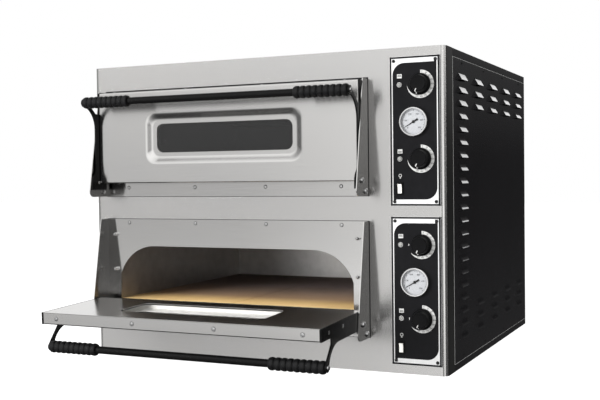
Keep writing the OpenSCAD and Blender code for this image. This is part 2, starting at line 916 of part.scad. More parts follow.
module handle_bar(k) {
    color(black) on_hinge(k) translate([0, -rod_fwd, rod_up]) difference() {
        x_rod(-side_x, rod_d / 2, 2 * side_x);
        for (s = [-1, 1]) mirror_side(s) x_rod(side_x - rod_screw_l, rod_screw_r + fit, rod_screw_l + cut);
    }
}

// A grip's radius, t ribs along its length
function rib_r(t) = grip_d / 2 - rib_depth * pow(cos(180 * t), 2);

module handle_grips(k) {
    steps = 6;
    n = grip_ribs * steps;
    color(black) on_hinge(k) translate([0, -rod_fwd, rod_up]) for (s = [-1, 1]) mirror_side(s)
        translate([side_x - grip_l, 0, 0]) rotate([0, 90, 0]) rotate_extrude()
            polygon([for (i = [0 : n]) [rib_r(i / steps), grip_l * i / n], [rod_d / 2 + fit, grip_l],
                     [rod_d / 2 + fit, 0]]);
}

module door_screws(k) {
    color(bright) on_hinge(k) {
        for (s = [-1, 1]) mirror_side(s) {
            at_side_plate_screws() {
                x_rod(side_x - door_screw_l, screw_r, door_screw_l + side_t - sink_h);
                translate([side_x + side_t - sink_h, 0, 0]) rotate([0, 90, 0])
                    cylinder(r1 = screw_r, r2 = sink_r, h = sink_h);
            }
            translate([0, -rod_fwd, rod_up]) {
                x_rod(side_x - rod_screw_l + cut, rod_screw_r, rod_screw_l - cut + side_t);
                translate([side_x + side_t, 0, 0]) rotate([0, 90, 0])
                    cylinder(r1 = rod_head_r, r2 = rod_head_r * bolt_taper, h = rod_head_h);
            }
        }
        at_lip_screws() rotate([-90, 0, 0]) screw_y(door_screw_l);
    }
}

// Controls

module control_plate(k) {
    color(black) on_controls(k) difference() {
        front_slab(ctrl_t, ctrl_t) round_rect(ctrl_w, ctrl_h, ctrl_corner);
        control_holes(0, ctrl_t);
    }
}

module thermometer_cases() {
    shell = 2;
    rim_z = gauge_h - gauge_lip;
    inner_r = gauge_body_r - shell;
    color(bright) for (k = [LOWER, UPPER]) on_controls(k) at_gauge() turned_forward() polygon([
        [pin_r + fit, -gauge_back], [gauge_body_r, -gauge_back], [gauge_body_r, 0], [gauge_r, 0],
        [gauge_r, rim_z], [gauge_r - gauge_lip, gauge_h], [dial_r - gauge_lip, gauge_h],
        [dial_r - gauge_lip, rim_z], [dial_r + gap, rim_z], [dial_r + gap, dial_t],
        [inner_r, dial_t], [inner_r, shell - gauge_back], [pin_r + fit, shell - gauge_back]]);
}

module thermometer_dials() {
    color(white) for (k = [LOWER, UPPER]) on_controls(k) at_gauge() difference() {
        y_rod(-2 * dial_t, dial_r, dial_t);
        y_rod(-2 * dial_t - cut, pin_r + fit, dial_t + 2 * cut);
    }
}

module thermometer_glasses() {
    color([0.9, 0.9, 0.9, 0.3]) for (k = [LOWER, UPPER]) on_controls(k) at_gauge()
        y_rod(gauge_lip - gauge_h, dial_r, pane_t);
}

module thermometer_needle(k) {
    tip_gap = 6;
    tip_l = dial_r - tip_gap;
    tail_l = 12;
    tail_w = 2.5;
    hub_r = 3.5;
    hub_w = 1.4;
    tip_w = 0.4;
    blade_t = 1;
    blade_y = -2 * dial_t - gap - blade_t;
    color(black) on_controls(k) at_gauge() rotate([0, needle_angle, 0]) {
        y_rod(blade_y, hub_r, blade_t);
        y_rod(blade_y, pin_r, gauge_back - blade_y - cut);
        front_slab(blade_y + blade_t, blade_t)
            polygon([[-tail_w, -tail_l], [tail_w, -tail_l], [hub_w, 0], [tip_w, tip_l], [-tip_w, tip_l],
                     [-hub_w, 0]]);
    }
}

module knob(k, i) {
    foot = 0.8;
    skirt_h = 5;
    skirt_w = 4;
    taper = 2;
    grip_r = knob_d / 2 - skirt_w;
    color(black) on_controls(k) translate([dial_dx, 0, dial_dz[i]]) rotate([0, pointer_angle, 0]) {
        y_rod(-foot - skirt_h, knob_d / 2, skirt_h);
        translate([0, -foot - skirt_h, 0]) rotate([90, 0, 0])
            cylinder(r1 = grip_r, r2 = grip_r - taper, h = knob_h - skirt_h);
        y_rod(-foot, spindle_r, foot + ctrl_t + sheet + spindle_l);
    }
}

module rocker(k) {
    end_gap = 1.2;
    reach = rocker_swing_h / 2 - end_gap;
    root = 6;
    root_d = 3;
    edge_d = 3.5;
    crest = 6.5;
    valley = 4.8;
    pin_l = rocker_w - 2 * fit;
    color(white) on_controls(k) translate([rocker_dx, ctrl_t, rocker_dz]) rotate([rocker_tilt, 0, 0]) {
        side_slab(-rocker_paddle_w / 2, rocker_paddle_w)
            polygon([[-root_d, -root], [edge_d, -reach], [crest, -reach], [valley, 0], [crest, reach],
                     [edge_d, reach], [-root_d, root]]);
        x_rod(-pin_l / 2, rocker_pin_r, pin_l);
    }
}

module rocker_housings() {
    depth = 22;
    rim_t = 2.5;
    color(black) for (k = [LOWER, UPPER]) on_controls(k) translate([rocker_dx, 0, rocker_dz]) difference() {
        union() {
            front_slab(0, rim_t) square([rocker_w + 2 * rocker_rim, rocker_h + 2 * rocker_rim], center = true);
            front_slab(depth, depth) square([rocker_w, rocker_h], center = true);
        }
        front_slab(ctrl_t + rocker_swing_d, ctrl_t + rocker_swing_d + rim_t + cut)
            square([rocker_slot_w, rocker_swing_h], center = true);
        translate([0, ctrl_t, 0]) x_rod(-rocker_w, rocker_pin_r + fit, 2 * rocker_w);
    }
}

module pilot_lamps() {
    lens_h = 4;
    lens_taper = 2;
    color([0.85, 0.85, 0.82]) for (k = [LOWER, UPPER]) on_controls(k) at_pilots() {
        rotate([90, 0, 0]) cylinder(r1 = lamp_d / 2, r2 = lamp_d / 2 - lens_taper, h = lens_h);
        y_rod(0, pilot_r, ctrl_t + pilot_l);
    }
}

module thermostat_bodies() {
    box_s = 44;
    box_d = 36;
    end_gap = 2;
    color(dark) for (k = [LOWER, UPPER]) on_controls(k) at_dials() translate([0, ctrl_t + sheet, 0]) difference() {
        front_slab(box_d, box_d) square([box_s, box_s], center = true);
        y_rod(-cut, spindle_r + fit, spindle_l + end_gap + cut);
    }
}

module panel_screws() {
    color(black) for (k = [LOWER, UPPER]) on_controls(k) at_panel_screws() screw_y(ctrl_t + sheet);
}

base_pan();
front_fascia();
left_side_panel();
right_side_panel();
top_cover();
back_panel();
cable_gland();
casing_screws();
bulkhead();
chamber_rails();
insulation();
terminal_block();
frame_plate(UPPER);  // upper_frame_plate
frame_plate(LOWER);  // lower_frame_plate
chamber_liner(UPPER);  // upper_chamber_liner
chamber_liner(LOWER);  // lower_chamber_liner
baking_stones(UPPER);  // upper_baking_stones
baking_stones(LOWER);  // lower_baking_stones
heating_elements(UPPER);  // upper_heating_elements
heating_elements(LOWER);  // lower_heating_elements
plate_screws();
door_stops();
hinge_bolts();
lamp_holders();
lamp_glasses();
door_skin(UPPER);  // upper_door_skin
door_inner_panel(UPPER);  // upper_door_inner_panel
door_glass(UPPER);  // upper_door_glass
window_frame(UPPER);  // upper_window_frame
side_plate(UPPER, -1);  // upper_left_side_plate
side_plate(UPPER, 1);  // upper_right_side_plate
handle_bar(UPPER);  // upper_handle_bar
handle_grips(UPPER);  // upper_handle_grips
door_screws(UPPER);  // upper_door_screws
door_skin(LOWER);  // lower_door_skin
door_inner_panel(LOWER);  // lower_door_inner_panel
door_glass(LOWER);  // lower_door_glass
window_frame(LOWER);  // lower_window_frame
side_plate(LOWER, -1);  // lower_left_side_plate
side_plate(LOWER, 1);  // lower_right_side_plate
handle_bar(LOWER);  // lower_handle_bar
handle_grips(LOWER);  // lower_handle_grips
door_screws(LOWER);  // lower_door_screws
control_plate(UPPER);  // upper_control_plate
control_plate(LOWER);  // lower_control_plate
thermometer_cases();
thermometer_dials();
thermometer_glasses();
thermometer_needle(UPPER);  // upper_thermometer_needle
thermometer_needle(LOWER);  // lower_thermometer_needle
knob(UPPER, 0);  // upper_top_knob
knob(UPPER, 1);  // upper_bottom_knob
knob(LOWER, 0);  // lower_top_knob
knob(LOWER, 1);  // lower_bottom_knob
rocker(UPPER);  // upper_rocker
rocker(LOWER);  // lower_rocker
rocker_housings();
pilot_lamps();
thermostat_bodies();
panel_screws();
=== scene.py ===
# Looks of a twin-deck countertop pizza oven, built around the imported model.
# Metres. +Z is up, the doors face -Y, and the origin is the middle of the base's underside.
import itertools
import json
from math import cos, pi, radians, sin

import bmesh
import bpy
from mathutils import Matrix, Vector


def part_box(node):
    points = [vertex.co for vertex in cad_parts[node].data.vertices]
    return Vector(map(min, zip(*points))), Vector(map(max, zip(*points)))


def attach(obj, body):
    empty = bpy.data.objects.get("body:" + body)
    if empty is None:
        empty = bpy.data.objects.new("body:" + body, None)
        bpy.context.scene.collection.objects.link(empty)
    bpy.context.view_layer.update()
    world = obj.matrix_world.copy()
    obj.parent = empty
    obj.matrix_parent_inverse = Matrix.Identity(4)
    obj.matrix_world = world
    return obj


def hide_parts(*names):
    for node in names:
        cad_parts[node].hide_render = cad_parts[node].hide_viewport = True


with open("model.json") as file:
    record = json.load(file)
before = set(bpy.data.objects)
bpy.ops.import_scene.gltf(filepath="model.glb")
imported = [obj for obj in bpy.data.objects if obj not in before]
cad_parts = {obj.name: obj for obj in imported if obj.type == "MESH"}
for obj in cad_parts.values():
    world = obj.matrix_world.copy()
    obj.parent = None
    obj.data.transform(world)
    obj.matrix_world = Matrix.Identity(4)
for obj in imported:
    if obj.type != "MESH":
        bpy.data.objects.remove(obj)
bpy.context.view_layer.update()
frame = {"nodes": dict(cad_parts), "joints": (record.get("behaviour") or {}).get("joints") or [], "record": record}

scene = bpy.context.scene
record = frame["record"]
MM = 0.001
DECKS = ("lower", "upper")
SLOT_OF = {part["node"]: part["material_slot"] for part in record["subparts"]}
BODY_OF = {node: body for body, nodes in record["behaviour"]["bodies"].items() for node in nodes}
JOINT_AT = {joint["name"]: Vector(joint["pos_m"]) for joint in frame["joints"]}
JOINT_RANGE = {joint["name"]: joint["range_deg"] for joint in frame["joints"]}
FLAT_LIMIT = radians(1)
SHARP_LIMIT = radians(40)
BEVEL_STEPS = 2
ROUND_STEPS = 48
X_AXIS = Vector((1, 0, 0))
Y_AXIS = Vector((0, 1, 0))
Z_AXIS = Vector((0, 0, 1))

# Camera, fitted to the photograph's frame of 600 by 400 pixels
PHOTO_W = 600
FOCAL_PX = 968.6
SENSOR_W = 36
CAMERA_AT = Vector((1.1113, -2.5749, 0.4671))
CAMERA_YAW = 24.796
CAMERA_PITCH = -1.472
CAMERA_ROLL = 0.685

# Door sizes, in millimetres from the hinge axis: x to the right, y back, z up
DOOR_FRONT = 3
DOOR_SHEET = 1.5
DOOR_BEND = 3
DOOR_CORNER = 3
SHARP_CORNER = 0.01
BEND_STEPS = 4
WINDOW_W = 386
WINDOW_H = 73
WINDOW_R = 18
WINDOW_UP = 112.5
RECESS_DEPTH = 8
SHOULDER_OUT = 30
SHOULDER_IN = 9.5
PRESS_STEPS = 16
FLANGE_EDGE = 0.6
FLAT_EDGE = 2
PANE_SPLIT = 20

# Painted shadow lines round the frame plates, painted highlight lines along the casing's edges, and the limit for
# sideways faces painted darker, in millimetres
SHADOW_LINE_W = 1.2
SHADOW_ABOVE = {"lower": 1.2, "upper": 4.0}
HIGHLIGHT_LINE_W = 1
FRONT_HIGHLIGHT_W = 2.5
LOOKS_SIDEWAYS = 0.9

# Screw and bolt sizes, in millimetres; the dome's are shares of the head
SCREW_R = 4
SCREW_HEAD = 2
SCREW_SHANK_R = 2
# Outer radius of the painted shadow ring round a front screw
SCREW_SHADOW_R = 4.8
PLATE_SHANK = 3.5
PANEL_SHANK = 4
CASING_SHANK = 6
CROSS_REACH = 2.2
CROSS_HALF_W = 0.5
WASHER_T = 0.5
LIP_SCREW_L = 7
LIP_WASHER_R = 5
# The black ring round a lip screw's washer is painted shade
LIP_SHADOW_R = 5.6
LIP_SHADOW_T = 0.2
SUNK_SCREW_L = 7
SUNK_LONGEST = 15
SUNK_HEAD = 2.3
SUNK_R = 4.4
SUNK_TOP_R = 4.2
SUNK_EDGE = 0.1
SUNK_CROSS_REACH = 2.4
SUNK_CROSS_HALF_W = 0.55
SUNK_CROSS_DEPTH = 1.2
ROD_SCREW_R = 6
ROD_SCREW_HEAD = 4
ROD_SCREW_HEX = 2.5
ROD_SHANK_R = 3.9
ROD_SHANK = 20
BOLT_R = 7
BOLT_HEAD = 5
BOLT_HEX = 3
BOLT_SHANK_R = 4
BOLT_SHANK = 7
DOME_SEAT = 0.35
DOME_DRAW = 0.45
DOME_TOP = 0.62
DOME_TURN = 70
DOME_STEPS = 5
RECESS_FLOOR = 0.3

# Door stop studs, in millimetres; the foot and the side are shares of the stud
STUD_STEM = 3.5
STUD_STEM_R = 2
STUD_FOOT = 0.92
STUD_FOOT_H = 0.6
STUD_SIDE = 0.55
STUD_TURN = 86
STUD_STEPS = 6

# Handle grip sizes, in millimetres
GRIP_RIBS = 9
GRIP_GROOVE = 3.2
GRIP_STEPS = 10
GRIP_FLATNESS = 0.55

# Knob sizes, in millimetres from the control plate's face
KNOB_FOOT = 0.8
KNOB_SKIRT_R = 25
KNOB_SKIRT_TOP = 5.8
KNOB_GRIP_R = 21
KNOB_TOP_R = 19
KNOB_TOP = 21.8
KNOB_FLUTES = 30
KNOB_FLUTE_DEPTH = 0.35
SPINDLE_R = 3
SPINDLE_L = 18
POINTER_TURN = 200
POINTER_START = 12
POINTER_W = 2.2
POINTER_T = 0.3

# Printed layout of a control plate, in millimetres from the plate's middle
PRINT_T = 0.12
PLATE_EDGE = 0.5
# Faces of a control plate that look further right than this are painted black as shade
LOOKS_RIGHT = 0.1
BORDER_EDGE = 0.5
BORDER_W = 4.2
# SHADE_W is the width of the painted shadow strip on the fascia right of a control plate
SHADE_W = 1.4
FIELD_SIDE = 7.2
FIELD_END = 15
FIELD_R = 28
STRIP_W = 6.4
STRIP_END = 6
DIAL_X = 14.2
DIAL_Z = (108, -64)
RING_OUT = 32.4
RING_IN = 23.6
RING_END = {"lower": 236, "upper": 268}
RING_TAPER = 165
RING_STEPS = 48
TAIL_W = 1.5
TAIL_TURN = 26
TAIL_STEPS = 8
MARKS = 10
MARK_START = 8
MARK_STEP = 21
MARK_VALUE = 50
MARK_R = 29.4
MARK_SIZE = 4.6
NUMBER_STEPS = 3
TICK_OUT = 26.8
TICK_IN = 25.4
TICK_HALF_W = 1.2
END_TICK_LEFT = 31
END_TICK_W = 1.4
END_TICK_H = 5
GAUGE_X = -2
GAUGE_Z = 21.5
PILOT_X = -36.3
PILOT_R = 5.4
ICON_UP = (19.8, 17.6)
ICON_W = 11.6
ICON_H = 9.6
ICON_ROWS = {"top": (2.2, -0.2), "bottom": (0.2, -2.2)}
ICON_ROW_W = 9.2
ICON_ROW_H = 1.3
BULB_Z = -102.7
BULB_R = 4
BULB_HOLE_R = 2.6
BULB_CAP_Z = -108.3
BULB_CAP_W = 3.4
BULB_CAP_H = 2.2
ROCKER_X = -37
ROCKER_Z = -132.4
ROCKER_HOLE_W = 12
ROCKER_HOLE_H = 26
SPINDLE_HOLE_R = 5
GAUGE_HOLE_R = 30
SCREW_HOLE_R = 2.4

# Thermometer scale, in millimetres and degrees
GAUGE_SWEEP = 270
GAUGE_STEPS = 50
GAUGE_VALUE = 10
GAUGE_LONG_EVERY = 5
GAUGE_MARK_EVERY = 10
GAUGE_TICK_OUT = 28.4
GAUGE_LONG_IN = 24.6
GAUGE_SHORT_IN = 26.2
GAUGE_LONG_HALF_W = 0.9
GAUGE_MARK_R = 19.6
GAUGE_MARK_SIZE = 5.4

# Pilot lamps, in millimetres from the control plate's face
PILOT_STEM_R = 4.9
PILOT_RING_H = 2.2
LENS_FOOT = 0.6
LENS_SIDE_H = 1.8
LENS_DOME_H = 2.2
LENS_TURN = 84
LENS_STEPS = 5


# Geometry helpers

def new_object(name, data):
    """A new object in the scene around a mesh, curve, lamp or camera."""
    made = bpy.data.objects.new(name, data)
    scene.collection.objects.link(made)
    return made


def add_piece(name, shells):
    """Makes one object from shells, each a list of points and a list of faces."""
    points = []
    faces = []
    for shell_points, shell_faces in shells:
        start = len(points)
        points += shell_points
        faces += [tuple(start + i for i in face) for face in shell_faces]
    mesh = bpy.data.meshes.new(name)
    mesh.from_pydata(points, [], faces)
    work = bmesh.new()
    work.from_mesh(mesh)
    bmesh.ops.recalc_face_normals(work, faces=work.faces)
    work.to_mesh(mesh)
    work.free()
    return new_object(name, mesh)


def from_bmesh(name, work):
    """Makes one object from a bmesh, which is freed."""
    mesh = bpy.data.meshes.new(name)
    work.to_mesh(mesh)
    work.free()
    return new_object(name, mesh)


def dress(piece, slot, body, *nodes):
    """Gives a piece its finish and its body, and hides the CAD nodes it stands for."""
    piece.data.materials.clear()
    piece.data.materials.append(FINISHES[slot])
    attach(piece, body)
    if nodes:
        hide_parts(*nodes)
    return piece


def stand_in(piece, node, slot=None, angle=35):
    """Puts a piece in the place of a CAD node, shaded smooth apart from its sharp edges and large faces."""
    piece.data.shade_smooth()
    piece.data.set_sharp_from_angle(angle=radians(angle))
    weights = piece.modifiers.new("weights", "WEIGHTED_NORMAL")
    weights.keep_sharp = True
    return dress(piece, slot or SLOT_OF[node], BODY_OF[node], node)


def paint_faces(piece, material, chosen):
    """Gives the faces whose normals are chosen a second finish."""
    piece.data.materials.append(material)
    for face in piece.data.polygons:
        if chosen(face.normal):
            face.material_index = 1


def loft(rings, closed=False):
    """A skin over rings of equal length; open ends get flat caps."""
    n = len(rings[0])
    count = len(rings)
    points = [point for ring in rings for point in ring]
    faces = []
    for i in range(count if closed else count - 1):
        a = i * n
        b = (i + 1) % count * n
        faces += [(a + j, a + (j + 1) % n, b + (j + 1) % n, b + j) for j in range(n)]
    if not closed:
        faces.append(tuple(range(n)))
        faces.append(tuple(range((count - 1) * n, count * n)))
    return points, faces


def polar_ring(radius, height, steps):
    """A level ring in millimetres whose radius is a number or a function of the angle."""
    ring = []
    for j in range(steps):
        turn = 2 * pi * j / steps
        r = radius(turn) if callable(radius) else radius
        ring.append(Vector((r * cos(turn), r * sin(turn), height)) * MM)
    return ring


def turned(profile, steps=ROUND_STEPS):
    """A turned solid along +Z from a list of (radius, height) in millimetres."""
    return loft([polar_ring(radius, height, steps) for radius, height in profile])


def placed(shell, matrix):
    """The same shell at another place."""
    points, faces = shell
    return [matrix @ Vector(point) for point in points], faces


def aimed(at, direction):
    """The matrix that takes the origin to a point and +Z to a direction."""
    turn = Vector(direction).to_track_quat("Z", "Y").to_matrix().to_4x4()
    return Matrix.Translation(at) @ turn


def spun(degrees, axis):
    """The matrix of a turn about an axis."""
    return Matrix.Rotation(radians(degrees), 4, axis)


def hinge_frame(deck):
    """The matrix of a door's closed frame, turned to its rest pose."""
    joint = deck + "_door_hinge"
    rest = max(JOINT_RANGE[joint]) if deck == "lower" else 0
    return Matrix.Translation(JOINT_AT[joint]) @ spun(rest, "X")


def merged_copy(node):
    """A bmesh copy of a CAD node with its corners joined."""
    work = bmesh.new()
    work.from_mesh(frame["nodes"][node].data)
    bmesh.ops.remove_doubles(work, verts=work.verts, dist=MM / 1000)
    return work


def islands(work):
    """The separate solids of a bmesh, as lists of vertices."""
    left = set(work.verts)
    groups = []
    while left:
        group = set()
        edge = [left.pop()]
        while edge:
            vertex = edge.pop()
            group.add(vertex)
            for link in vertex.link_edges:
                other = link.other_vert(vertex)
                if other in left:
                    left.remove(other)
                    edge.append(other)
        groups.append(group)
    return groups


def corners(points):
    """Lowest and highest corner of some points."""
    low = Vector([min(point[i] for point in points) for i in range(3)])
    high = Vector([max(point[i] for point in points) for i in range(3)])
    return low, high


def solid_boxes(node):
    """Boxes of the separate solids of a CAD node, in a fixed order."""
    work = merged_copy(node)
    boxes = [corners([vertex.co for vertex in group]) for group in islands(work)]
    work.free()
    return sorted(boxes, key=lambda box: tuple(round(value, 5) for value in box[0]))


def softened(node, width):
    """A copy of a CAD node with its sharp edges rounded, which replaces the node."""
    work = merged_copy(node)
    bmesh.ops.dissolve_limit(work, angle_limit=FLAT_LIMIT, verts=work.verts, edges=work.edges)
    inner_edges = [edge for edge in work.edges if len(edge.link_faces) == 2]
    sharp_edges = [edge for edge in inner_edges if edge.calc_face_angle() > SHARP_LIMIT]
    bmesh.ops.bevel(
        work, geom=sharp_edges, offset=width * MM, offset_type="OFFSET", segments=BEVEL_STEPS, profile=0.5,
        affect="EDGES", clamp_overlap=True,
    )
    return stand_in(from_bmesh(node + "_finish", work), node)


# Materials

STONE_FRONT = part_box("lower_baking_stones")[0].y
STONE_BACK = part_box("lower_baking_stones")[1].y
BRUSHED_ACROSS = (0.35, 60, 60)
BRUSHED_UP = (60, 60, 0.35)
POLISHED_ACROSS = (0.5, 40, 40)


class NodeTree:
    """A tree of shader nodes with short ways to add to it."""

    def __init__(self, owner):
        owner.use_nodes = True
        self.tree = owner.node_tree

    def node(self, kind, *inputs):
        """A new node with some of its inputs set, each as (name, value)."""
        made = self.tree.nodes.new(kind)
        for name, value in inputs:
            made.inputs[name].default_value = value
        return made

    def link(self, source, target):
        self.tree.links.new(source, target)

    def shades(self, factor, stops):
        """Colours from a factor, as a list of (position, colour)."""
        ramp = self.node("ShaderNodeValToRGB")
        band = ramp.color_ramp
        while len(band.elements) < len(stops):
            band.elements.new(0.5)
        for element, (position, colour) in zip(band.elements, sorted(stops)):
            element.position = position
            element.color = (*colour, 1)
        self.link(factor, ramp.inputs["Fac"])
        return ramp.outputs["Color"]

    def span(self, factor, low, high, start=0.3, end=0.7):
        """A number from low to high as the factor goes from start to end."""
        ends = (("From Min", start), ("From Max", end), ("To Min", low), ("To Max", high))
        part = self.node("ShaderNodeMapRange", *ends)
        self.link(factor, part.inputs["Value"])
        return part.outputs["Result"]

    def mix(self, one, two, blend="MIX"):
        """A node that mixes two colours, fully unless its factor is set."""
        mixer = self.node("ShaderNodeMix")
        mixer.data_type = "RGBA"
        mixer.blend_type = blend
        mixer.inputs["Factor"].default_value = 1.0
        self.link(one, mixer.inputs["A"])
        self.link(two, mixer.inputs["B"])
        return mixer

    def multiply(self, one, two):
        return self.mix(one, two, "MULTIPLY").outputs["Result"]


class Finish(NodeTree):
    """A material with its principled shader and short ways to add procedural detail."""

    def __init__(self, name, colour, roughness, metallic=0.0, specular=0.5):
        self.material = bpy.data.materials.new(name)
        super().__init__(self.material)
        self.shader = self.tree.nodes["Principled BSDF"]
        self.set("Base Color", (*colour, 1))
        self.set("Roughness", roughness)
        self.set("Metallic", metallic)
        self.set("Specular IOR Level", specular)

    def set(self, socket, value):
        self.shader.inputs[socket].default_value = value

    def join(self, source, socket):
        self.link(source, self.shader.inputs[socket])

    def place(self):
        """The place of a point in the part's own frame."""
        return self.node("ShaderNodeTexCoord").outputs["Object"]

    def noise(self, scale, detail=3.0, stretch=(1, 1, 1)):
        """Noise in the part's own frame; scale counts cells in a metre."""
        sizes = self.node("ShaderNodeMapping", ("Scale", stretch))
        texture = self.node("ShaderNodeTexNoise", ("Scale", scale), ("Detail", detail))
        self.link(self.place(), sizes.inputs["Vector"])
        self.link(sizes.outputs["Vector"], texture.inputs["Vector"])
        return texture.outputs["Fac"]

    def depth(self):
        """How far behind the part's origin a point is, in metres."""
        split = self.node("ShaderNodeSeparateXYZ")
        self.link(self.place(), split.inputs["Vector"])
        return split.outputs["Y"]

    def bump(self, height, depth):
        """Relief of a depth in millimetres."""
        relief = self.node("ShaderNodeBump", ("Distance", depth * MM))
        self.link(height, relief.inputs["Height"])
        self.join(relief.outputs["Normal"], "Normal")

    def brushed(self, tangent, amount=0.8):
        """Reflections drawn out across the brush lines, along a direction in the part's frame."""
        self.set("Anisotropic", amount)
        direction = self.node("ShaderNodeCombineXYZ")
        for socket, value in zip(direction.inputs, tangent):
            socket.default_value = value
        self.join(direction.outputs["Vector"], "Tangent")


def grey(value):
    return (value, value, value)


def sheet_steel(name, tone, roughness, lines, metallic=1.0, drawn_out=True):
    """Sheet steel with fine brush lines, stretched by lines; its reflections may be drawn out upwards."""
    finish = Finish(name, grey(tone), roughness, metallic=metallic)
    fine = finish.noise(30, detail=4, stretch=lines)
    cloud = finish.noise(5, detail=2)
    streaks = finish.shades(fine, [(0.25, grey(tone * 0.975)), (0.75, grey(tone * 1.02))])
    warmth = finish.shades(cloud, [(0.3, (0.99, 0.98, 0.965)), (0.7, (1.0, 0.985, 0.965))])
    finish.join(finish.multiply(streaks, warmth), "Base Color")
    finish.join(finish.span(fine, roughness - 0.02, roughness + 0.03), "Roughness")
    finish.bump(fine, 0.0008)
    if drawn_out:
        finish.brushed(Z_AXIS)
    return finish.material


def mottled(name, colours, roughness, noise, relief=0, grain=None, at=(0.3, 0.7), metallic=0.0, specular=0.5,
            alpha=1.0, clear=0.0, glow=0.0):
    """A finish that a noise mottles with one or two colours and roughnesses, and a relief in millimetres."""
    finish = Finish(name, colours[0], roughness[0], metallic, specular)
    finish.set("Alpha", alpha)
    finish.set("Transmission Weight", clear)
    finish.set("Emission Strength", glow)
    patches = finish.noise(*noise)
    if len(colours) > 1:
        finish.join(finish.shades(patches, list(zip(at, colours))), "Base Color")
    if len(roughness) > 1:
        finish.join(finish.span(patches, *roughness), "Roughness")
    if relief:
        finish.bump(finish.noise(*grain) if grain else patches, relief)
    return finish.material


def scaled(tone, share):
    return tuple(value * share for value in tone)


def enamel(name, tone, gloss, peel, specular=0.5):
    """Glossy stoved enamel with a faint orange peel and a little dust."""
    roughness = (gloss - 0.01, gloss + 0.015)
    tones = [tone, scaled(tone, 1.2)]
    return mottled(name, tones, roughness, (9, 4), peel, (420, 1.5), (0.35, 0.8), specular=specular)


def moulded(name, tone, gloss, specular=0.5):
    """Moulded plastic with a fine grain."""
    roughness = (gloss - 0.06, gloss + 0.1)
    tones = [tone, scaled(tone, 1.35)]
    return mottled(name, tones, roughness, (60, 3), 0.03, (1500, 2), (0.3, 0.75), specular=specular)


def chamber_steel():
    finish = Finish("heat_tinted_chamber", (0.42, 0.39, 0.36), 0.36, metallic=0.92)
    tint = finish.noise(3.2, detail=4)
    soot = finish.noise(38, detail=5)
    tones = [(0.3, (0.50, 0.49, 0.48)), (0.5, (0.55, 0.54, 0.53)), (0.72, (0.59, 0.58, 0.56))]
    specks = finish.shades(soot, [(0.35, grey(0.88)), (0.6, grey(1.0))])
    finish.join(finish.multiply(finish.shades(tint, tones), specks), "Base Color")
    finish.join(finish.span(soot, 0.32, 0.46), "Roughness")
    finish.bump(soot, 0.05)
    return finish.material


def baking_stone():
    finish = Finish("fired_clay", (0.66, 0.49, 0.29), 0.85, specular=0.3)
    patch = finish.noise(6.5, detail=4)
    grit = finish.noise(420, detail=3)
    tones = [(0.28, (0.60, 0.42, 0.19)), (0.5, (0.72, 0.51, 0.24)), (0.75, (0.79, 0.57, 0.28))]
    specks = finish.shades(grit, [(0.3, grey(0.66)), (0.42, grey(0.97)), (0.8, grey(1.0))])
    # Painted shade: the stone grows darker and bluer from its front to its back, standing in for less light
    # reaching deep into the chamber
    inward = finish.span(finish.depth(), 0, 1, start=STONE_FRONT, end=STONE_BACK)
    stone_shade_stops = [
        (0.0, grey(1.0)), (0.1, (0.78, 0.74, 0.68)), (0.22, (0.48, 0.45, 0.58)), (0.6, (0.38, 0.43, 0.85)),
    ]
    painted_stone_shade = finish.shades(inward, stone_shade_stops)
    clay = finish.multiply(finish.shades(patch, tones), specks)
    finish.join(finish.multiply(clay, painted_stone_shade), "Base Color")
    finish.bump(grit, 0.25)
    return finish.material


def white_print(name, tone):
    """White print or paint, a little darker in places."""
    return mottled(name, [scaled(tone, 0.94), tone], [0.45], (120, 3))


FINISHES = {
    "stainless_steel": sheet_steel("brushed_front_steel", 0.74, 0.2, BRUSHED_ACROSS),
    "polished_steel": sheet_steel("polished_inner_steel", 0.72, 0.2, POLISHED_ACROSS, drawn_out=False),
    "bright_fasteners": mottled(
        "plated_fasteners", [grey(0.72)], (0.16, 0.34), (400, 3), relief=0.02, metallic=1.0),
    "white_frame": enamel("white_enamel", (0.78, 0.77, 0.74), 0.25, 0.01),
    "black_enamel": enamel("black_enamel", (0.0078, 0.0072, 0.0084), 0.09, 0.004),
    "black_fasteners": enamel("black_oxide", (0.008, 0.008, 0.008), 0.25, 0.01),
    "black_bar": enamel("satin_black_bar", (0.003, 0.003, 0.003), 0.22, 0.006, specular=0.14),
    "black_plastic": moulded("black_plastic", (0.003, 0.003, 0.0032), 0.34, specular=0.1),
    "gauge_needle": moulded("needle_black", (0.012, 0.012, 0.012), 0.5),
    "rocker_white": moulded("rocker_white", (0.68, 0.67, 0.63), 0.3),
    "white_ceramic": enamel("white_ceramic", (0.75, 0.75, 0.72), 0.2, 0.01),
    "chamber_steel": chamber_steel(),
    "baking_stone": baking_stone(),
    "mineral_wool": mottled(
        "mineral_wool", [(0.45, 0.37, 0.2), (0.72, 0.63, 0.42)], [0.95], (90, 6, (1, 6, 1)), relief=2.0,
        specular=0.1),
    "element_sheath": mottled(
        "element_sheath", [(0.07, 0.065, 0.06), (0.2, 0.17, 0.15)], [0.5], (70, 4), relief=0.08,
        metallic=0.6),
    "control_print": mottled(
        "silver_plate", [grey(0.64), grey(0.72)], (0.3, 0.42), (40, 3, (30, 1, 0.6)), metallic=0.35),
    "gauge_bezel": mottled("polished_bezel", [grey(0.86)], (0.07, 0.18), (180, 3), metallic=1.0),
    "gauge_face": white_print("gauge_face", (0.56, 0.57, 0.59)),
    "clear_glass": mottled("clear_glass", [grey(0.02)], (0.01, 0.05), (26, 4), alpha=0.12),
    "door_glass": mottled("door_glass", [grey(0.02)], (0.01, 0.05), (26, 4), alpha=0.5),
    "lamp_lens": mottled("lamp_lens", [(0.46, 0.46, 0.44)], (0.12, 0.32), (600, 1), relief=0.15, clear=0.45),
}
